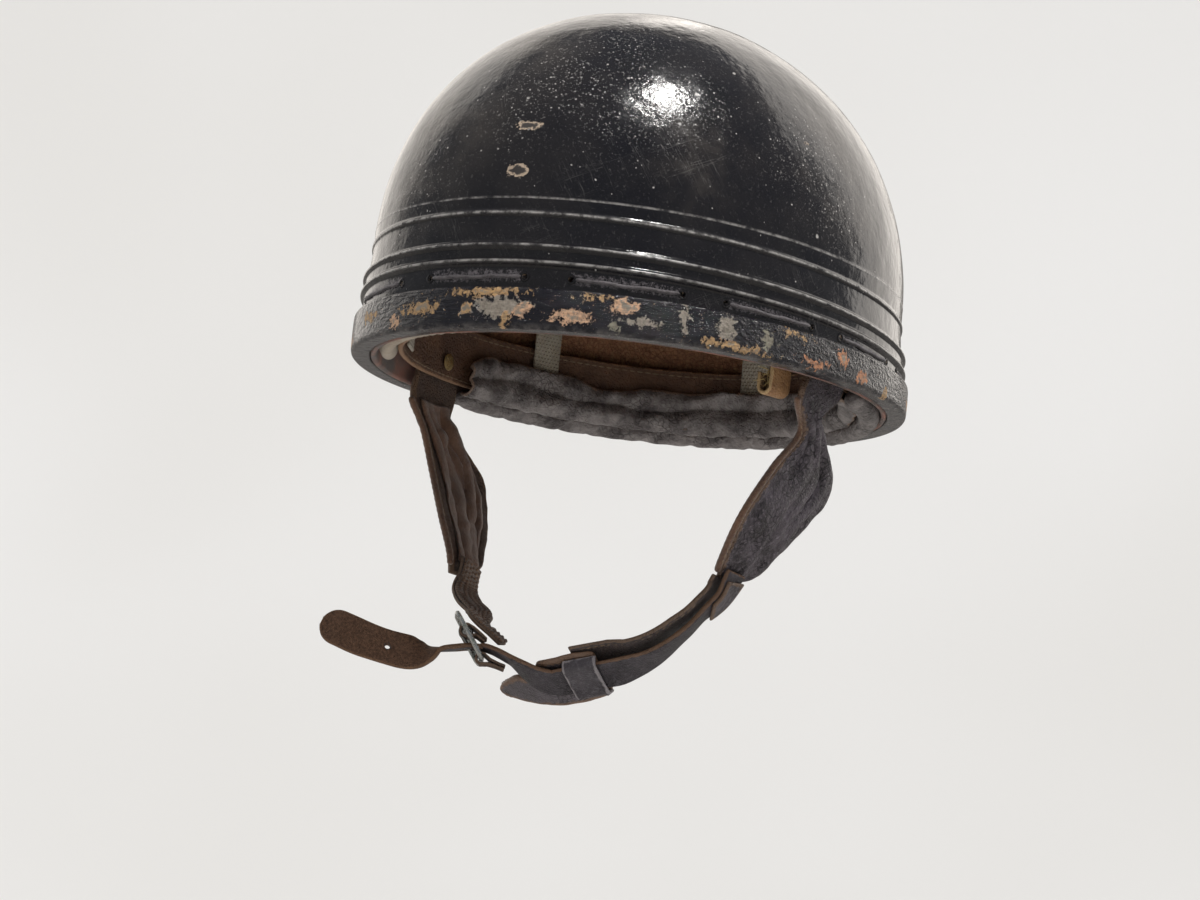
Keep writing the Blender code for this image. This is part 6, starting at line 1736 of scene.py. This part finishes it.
def makePad(s):
    # the plate lies behind the strap and bows back along its narrow end
    start, end = (np.array(strapSet[k]) * harnessReach for k in ("straightStart", "straightEnd"))
    run = unit(end - start)
    across = np.array(strapEdges[9])
    across = squareTo(across, run)
    out = unit(np.cross(run, across))
    origin = start + (end - start) * s["place"]
    curve = routeCurve(np.column_stack([np.array(padStations) * s["length"],
                                        np.array(padTops) * s["halfHeight"],
                                        np.array(padBottoms) * s["halfHeight"]]))
    fine = np.linspace(0, 12, 1200)
    lengths = curve(fine)[:, 0]
    total = lengths[-1] - lengths[0]
    shares = crowded(total, s["rounding"], s["step"])
    table = curve(np.interp(lengths[0] + shares * total, lengths, fine))
    v = crowded(s["height"], s["rounding"], s["step"])[None, :, None]
    past = np.maximum(table[:, 0] / s["length"] - s["bowStart"], 0)
    bow = s["bow"] * s["length"] * past ** 1.5
    near = np.minimum(shares, 1 - shares) * total
    pinch = s["pinch"] * (1 - rounded(near, s["pinch"]))
    top, bottom = table[:, 1] + pinch, table[:, 2] - pinch
    height = top[:, None, None] * (1 - v) + bottom[:, None, None] * v
    surface = (origin + run * table[:, :1][:, None] + across * height
               - out * (s["depth"] + bow)[:, None, None])
    wave = ripple(surface, 0.018, 71, 3) * 0.0003
    surface = surface - out * np.abs(wave)[..., None]
    plate = sheetSolid("chinPadFine", surface, s["thickness"], outward=out, material=padLeather)
    standFor(plate, "chin_pad_slider", "grey_leather", "chin_pad")
    # stitches a little inside the border of the plate, on both faces
    rows, columns = surface.shape[:2]
    grid = routeCurve(surface.reshape(rows, -1))
    ring = []
    span = np.linspace(s["stitchEnd"], 1 - s["stitchEnd"], 60)
    for share, ways in ((s["stitchInset"], span), (1 - s["stitchInset"], span[::-1])):
        row = grid(ways * (rows - 1)).reshape(-1, columns, 3)
        low = float(np.interp(share, v.ravel(), np.arange(columns)))
        ring.append(row[:, int(low)] * (1 - low % 1) + row[:, int(low) + 1] * (low % 1))
    ring = np.concatenate(ring + [ring[0][:1]])
    runs = pathRuns(ring)
    at = np.arange(0.001, runs[-1] - 0.001, s["stitchStep"])
    places = interpRows(at, runs, ring)
    ways = np.gradient(places, axis=0)
    for name, sign in (("Front", 1.0), ("Back", -1.0)):
        row = stitchRow("padStitch" + name, places + out * sign * s["thickness"] * 0.50, ways,
                        np.broadcast_to(out * sign, places.shape), 0.0021, 0.00026, lean=0.1,
                        material=darkThread)
        standFor(row, "chin_pad_slider", "lacing_thread")
    # the loop over the strap: an arch with a raised rim on both sides
    arch = np.array([(-.0097, -.0020), (-.0095, .0004), (-.0090, .0020), (-.0075, .0026),
                     (-.0040, .0027), (0, .0028), (.0040, .0027), (.0075, .0026), (.0093, .0020),
                     (.0107, .0004), (.0126, -.0020)])
    path = routeCurve(arch)(np.linspace(0, 10, 60))
    u = crowded(s["loopLength"], s["loopThickness"] / 2, 0.0007)
    along = (u - 0.5) * s["loopLength"] - s["loopBack"]
    near = np.minimum(u, 1 - u) * s["loopLength"]
    rim = np.exp(-((near - 0.0014) / 0.0007) ** 2) * 0.0005
    groove = -0.0002 * np.exp(-((near - 0.0034) / 0.0005) ** 2)
    surface = (origin + across * path[:, None, :1] + out * path[:, None, 1:]
               + run * along[None, :, None])
    bump = np.broadcast_to(rim + groove, surface.shape[:2])
    loop = sheetSolid("chinPadLoopFine", surface, s["loopThickness"], outward=out,
                      bump=(bump, 0 * bump), material=loopLeather)
    standFor(loop, "chin_pad_slider", "dark_leather", "chin_pad_loop")


makeStrap(strapSet)
makeInnerBand(innerBandSet)
makeStrapTab()
makePad(padSet)
print("strap and pad made")

# ---- right band and buckle


def tiltedAxes(angle):
    # the level and the upright axis of the buckle, turned about its bar
    return (levelAxis * cos(angle) + upAxis * sin(angle),
            -levelAxis * sin(angle) + upAxis * cos(angle))


chapeRun, chapeUp = tiltedAxes(radians(-37.4))
lengthAxis = levelAxis * cos(bucklePitch) - upAxis * sin(bucklePitch)
bandRoute = [(-.628, -.295, -.612), (-.613, -.365, -.693), (-.543, -.504, -.744),
             (-.421, -.661, -.792)]
bandEnds = [(.056, .278, .022), (.889, .089, 0.0), (1.667, 0.0, 0.0)]
sideBandSet = dict(width=0.0150, thickness=0.0017, webThickness=0.0009, webWidth=0.0132,
                   chapeLength=0.009, lift=0.0067, tilt=12.0)
buckleSet = dict(upper=0.0087, lower=0.0144, half=0.0122, wire=0.0022, corner=0.0035, bar=0.001,
                 eye=0.00179, chapeThickness=0.0016, chapeHalf=0.0075, chapeLength=0.009,
                 slot=0.0032, tongue=0.0018, tongueLift=0.0023, tabLength=0.0105, tabAngle=-16.5)


def makeSideBand(s):
    places = [np.array(p) * harnessReach for p in bandRoute]
    for along, sideways, lift in bandEnds:
        places.append(buckleCentre + chapeRun * along * s["chapeLength"]
                      + barAxis * sideways * s["chapeLength"]
                      + chapeUp * (s["lift"] + lift * s["chapeLength"]))
    tilt = radians(s["tilt"])
    endEdge = barAxis * cos(tilt) + chapeUp * sin(tilt)
    edges = np.array([(0, 1.0, 0), (0, 1, 0), (.10, .97, 0), (0, .97, .10)] + [tuple(endEdge)] * 3)
    centres, edges = resample(np.array(places), 0.0004, edges)
    runs = unit(np.gradient(centres, axis=0))
    edges = squareTo(edges, runs)
    inner = unit(np.cross(runs, edges))
    wave = ripple(centres, 0.02, 91, 2)[:, None] * 0.0002
    narrow = 1 - 0.22 * smoothStep(0.40, 0.68, pathRuns(centres) / pathRuns(centres)[-1])
    band = ribbonSolid("sideBandFine", centres - inner * (0.0004 + wave), edges,
                       narrow * s["width"] / 2,
                       s["thickness"], 0.0011, material=darkLeather)
    standFor(band, "right_harness", "brown_suede", "right_side_band")
    # ribbed webbing on the inside: each rib crosses the strip
    ribs = 0.00075 * np.abs(np.sin(pathRuns(centres) * pi / 0.0023))
    web = centres + inner * 0.00088
    half = s["webWidth"] / 2
    across = crowded(s["webWidth"], s["webThickness"] / 2, 0.0012) * 2 - 1
    surface = (web[:, None]
               + edges[:, None] * across[None, :, None] * half * narrow[:, None, None])
    bump = np.broadcast_to(ribs[:, None], surface.shape[:2])
    piece = sheetSolid("sideBandWebbing", surface, s["webThickness"], inner[len(inner) // 2],
                       (bump, 0 * bump), bandCloth)
    standFor(piece, "right_harness", "brown_suede")


def wrapStrip(name, path, xAxis, yAxis, centre, half, thickness, slot, slotReach, material):
    # a strip bent along a path in the plane of two axes, as wide as the bar, cut for the tongue
    path = np.array(path)
    curve = routeCurve(path)
    fine = curve(np.linspace(0, len(path) - 1, 1500))
    run = pathRuns(fine)
    shares = crowded(run[-1], thickness / 2, 0.0005)
    flat = interpRows(shares * run[-1], run, fine)
    centres = centre + flat[:, :1] * xAxis + flat[:, 1:] * yAxis
    edges = np.broadcast_to(barAxis, centres.shape)
    strip = ribbonSolid(name, centres, edges, half, thickness, 0.001, material=material)
    outline = [(-slotReach, -slotReach), (slotReach * 0.49, -slotReach),
               (slotReach * 0.49, slotReach), (-slotReach, slotReach)]
    prismCut(strip, outline, centre, xAxis, yAxis, slot)
    return strip


def makeBuckle(s):
    half, wire = s["half"] - s["wire"] / 2, s["wire"] / 2
    middle = (s["lower"] - s["upper"]) / 2
    halfLength = (s["lower"] + s["upper"]) / 2 - wire
    outline = roundedOutline(halfLength, half, s["corner"] - wire, 9)
    fine = []
    for a, b in zip(outline, np.roll(outline, -1, 0)):
        count = max(1, int(np.linalg.norm(b - a) / 0.0012))
        fine.append(a + (b - a) * np.linspace(0, 1, count + 1)[:-1, None])
    outline = np.concatenate(fine)
    out = -np.cross(lengthAxis, barAxis)
    path = (buckleCentre + (outline[:, :1] + middle) * lengthAxis + outline[:, 1:] * barAxis)
    frameLoop = tubeSolid("buckleFrameFine", path, wire * 0.98, np.broadcast_to(out, path.shape),
                          16, closed=True, material=chrome)
    standFor(frameLoop, "buckle", "worn_chrome", "buckle_frame")
    ends = np.linspace(-half, half, 14)
    bar = tubeSolid("buckleBarFine", buckleCentre + barAxis * ends[:, None], s["bar"], out, 14,
                    material=chrome)
    standFor(bar, "buckle", "worn_chrome")
    radius = s["tongueLift"]
    tip = s["lower"] + s["wire"] / 3
    turn = np.linspace(pi / 2, pi / 2 + radians(285), 40)
    path = [(x, radius) for x in np.linspace(tip, 0.0004, 18)]
    path += [(radius * cos(t), radius * sin(t)) for t in turn]
    path = np.array(path)
    thick = np.full(len(path), s["tongue"] / 2)
    thick[:3] *= [0.45, 0.75, 0.92]
    route = buckleCentre + path[:, :1] * lengthAxis + path[:, 1:] * out
    tongue = tubeSolid("buckleTongueFine", route, thick, barAxis, 14, material=chrome)
    standFor(tongue, "tongue", "worn_chrome", "buckle_tongue")
    outer = s["eye"] + s["chapeThickness"]
    ring = s["eye"] + 0.0007
    top = outer * 1.03
    path = [(s["chapeLength"], top - 0.0005), (s["chapeLength"] * 0.6, top - 0.0005),
            (outer * 0.6, top - 0.0006)]
    path += [(ring * cos(t), ring * sin(t))
             for t in np.radians(np.linspace(95, 320, 12))]
    path += [(outer * 0.95, -outer * 0.05), (outer * 1.35, top - 0.0022),
             (s["chapeLength"], top - 0.00175)]
    chape = wrapStrip("chapeFine", path, chapeRun, chapeUp, buckleCentre, s["chapeHalf"], 0.0011,
                      s["slot"], 2 * outer, darkLeather)
    standFor(chape, "right_harness", "dark_leather", "buckle_chape")
    tabRun, tabUp = tiltedAxes(radians(s["tabAngle"]))
    centre = buckleCentre + lengthAxis * (s["lower"] - wire)
    eye = hypot(s["wire"], s["wire"]) / 2 + 0.00015
    outerTab, ring = eye + 0.0010, eye + 0.0005
    path = [(s["tabLength"], 0.00065), (s["tabLength"] * 0.66, 0.00065), (ring * 1.55, 0.0010),
            (ring * 1.15, ring * 0.62)]
    path += [(ring * cos(t), ring * sin(t)) for t in np.radians(np.linspace(55, 305, 12))]
    path += [(ring * 1.15, -ring * 0.62), (ring * 1.55, -0.0010), (s["tabLength"] * 0.66, -0.00065),
             (s["tabLength"], -0.00065)]
    tab = wrapStrip("endTabFine", path, tabRun, tabUp, centre, s["chapeHalf"] - 0.0003, 0.0010,
                    s["slot"], 1.4 * outerTab, darkLeather)
    standFor(tab, "end_tab", "dark_leather", "buckle_end_tab")


makeSideBand(sideBandSet)
makeBuckle(buckleSet)
print("harness made")

# ---- floor, backdrop and lamps


def makeRoom(s):
    # floor and wall in one sheet: a quarter circle joins them
    turn = np.linspace(0, pi / 2, 16)
    floor = s["floorHeight"]
    section = [(s["front"], floor), (s["depth"] - s["bend"], floor)]
    section += [(s["depth"] - s["bend"] + s["bend"] * sin(t),
                 floor + s["bend"] * (1 - cos(t))) for t in turn[1:]]
    section += [(s["depth"], s["wallHeight"])]
    section = np.array(section)
    azimuth = radians(cameraSet["azimuth"])
    # depth runs away from the camera, width across its view
    away = np.array([-sin(azimuth), cos(azimuth), 0.0])
    over = np.array([cos(azimuth), sin(azimuth), 0.0])
    across = np.linspace(-0.5, 0.5, 5) * s["width"]
    points = (away * section[:, None, :1] + over * across[None, :, None]
              + upAxis * section[:, None, 1:])
    quads = quadsOf(indexGrid(*points.shape[:2]))
    first = points.reshape(-1, 3)[quads[0]]
    if np.cross(first[1] - first[0], first[2] - first[0])[2] < 0:
        quads = quads[:, ::-1]
    material, shader, where = newFinish("paleBackdrop", roughness=0.9, specular=0.2)
    tree = material.node_tree
    path = tree.nodes.new("ShaderNodeLightPath")
    colour = mixColour(patches(where, 1.1, 2.0, 0.5, 0.3, 0.7), s["colour"], s["backdrop"])
    dim = mixColour(path.outputs["Is Glossy Ray"], colour, s["mirrored"])
    glow, mix, clear, oneSided, geometry = (tree.nodes.new("ShaderNode" + kind) for kind in (
        "Emission", "MixShader", "BsdfTransparent", "MixShader", "NewGeometry"))
    # seen from below, the floor hides nothing
    for output, socket in (
            (dim, shader.inputs["Base Color"]), (colour, glow.inputs[0]),
            (times(path.outputs["Is Camera Ray"], s["glow"]), mix.inputs[0]),
            (shader.outputs[0], mix.inputs[1]), (glow.outputs[0], mix.inputs[2]),
            (geometry.outputs["Backfacing"], oneSided.inputs[0]),
            (mix.outputs[0], oneSided.inputs[1]), (clear.outputs[0], oneSided.inputs[2]),
            (oneSided.outputs[0], tree.nodes["Material Output"].inputs[0])):
        tree.links.new(output, socket)
    room = pieceMesh("room", points.reshape(-1, 3), quads.ravel(), np.full(len(quads), 4),
                     material=material)


lampSet = dict(  # azimuth and elevation from the helmet, distance, size, watts, lights or mirrors
    key=(65.7, 67.0, 1.5, 0.12, 0.11, 17.0, "both"),
    soft=(20.0, 55.0, 2.0, 1.6, 1.2, 23.0, "lights"),
    left=(-95.0, 22.0, 2.2, 1.8, 1.8, 13.0, "lights"),
    right=(128.0, 28.0, 2.2, 1.6, 1.8, 15.0, "lights"),
    leftWindow=(-122.0, 24.0, 2.2, 2.3, 2.4, 21.0, "mirrors"),
    rightWindow=(173.0, 30.0, 2.2, 2.4, 2.2, 25.0, "mirrors"))
worldSet = dict(light=(0.225, 0.23, 0.24), seen=(0.80, 0.79, 0.77))


def addLamp(name, azimuth, elevation, distance, width, height, watts, use):
    data = bpy.data.lights.new(name, "AREA")
    data.shape, data.size, data.size_y, data.energy = "RECTANGLE", width, height, watts
    data.color = (1.0, 0.94, 0.87) if use == "mirrors" else (1.0, 0.98, 0.95)
    lamp = bpy.data.objects.new(name, data)
    bpy.context.scene.collection.objects.link(lamp)
    turn, lift = radians(azimuth), radians(elevation)
    way = Vector((sin(turn) * cos(lift), -cos(turn) * cos(lift),
                  sin(lift)))
    lamp.location = way * distance + Vector((0, 0, 0.05))
    lamp.rotation_euler = way.to_track_quat("Z", "Y").to_euler()
    lamp.visible_glossy = use != "lights"
    lamp.visible_diffuse = use != "mirrors"


makeRoom(roomSet)
for lampName, values in lampSet.items():
    addLamp(lampName + "Lamp", *values)
world = bpy.data.worlds.new("softRoom")
world.use_nodes = True
worldTree = world.node_tree
worldSeen = worldTree.nodes.new("ShaderNodeLightPath").outputs["Is Camera Ray"]
worldTree.links.new(mixColour(worldSeen, worldSet["light"], worldSet["seen"]),
                    worldTree.nodes["Background"].inputs[0])
bpy.context.scene.world = world
bpy.context.scene.view_settings.view_transform = "Standard"

# ---- CAD nodes that still show take the finish of their slot
hidden = {name for name, item in nodes.items() if item.hide_render}
for name, item in nodes.items():
    old = item.data.materials[0].name.split(".")[0] if item.data.materials else ""
    if name not in hidden and old in slotFinish:
        item.data.materials.clear()
        item.data.materials.append(slotFinish[old])
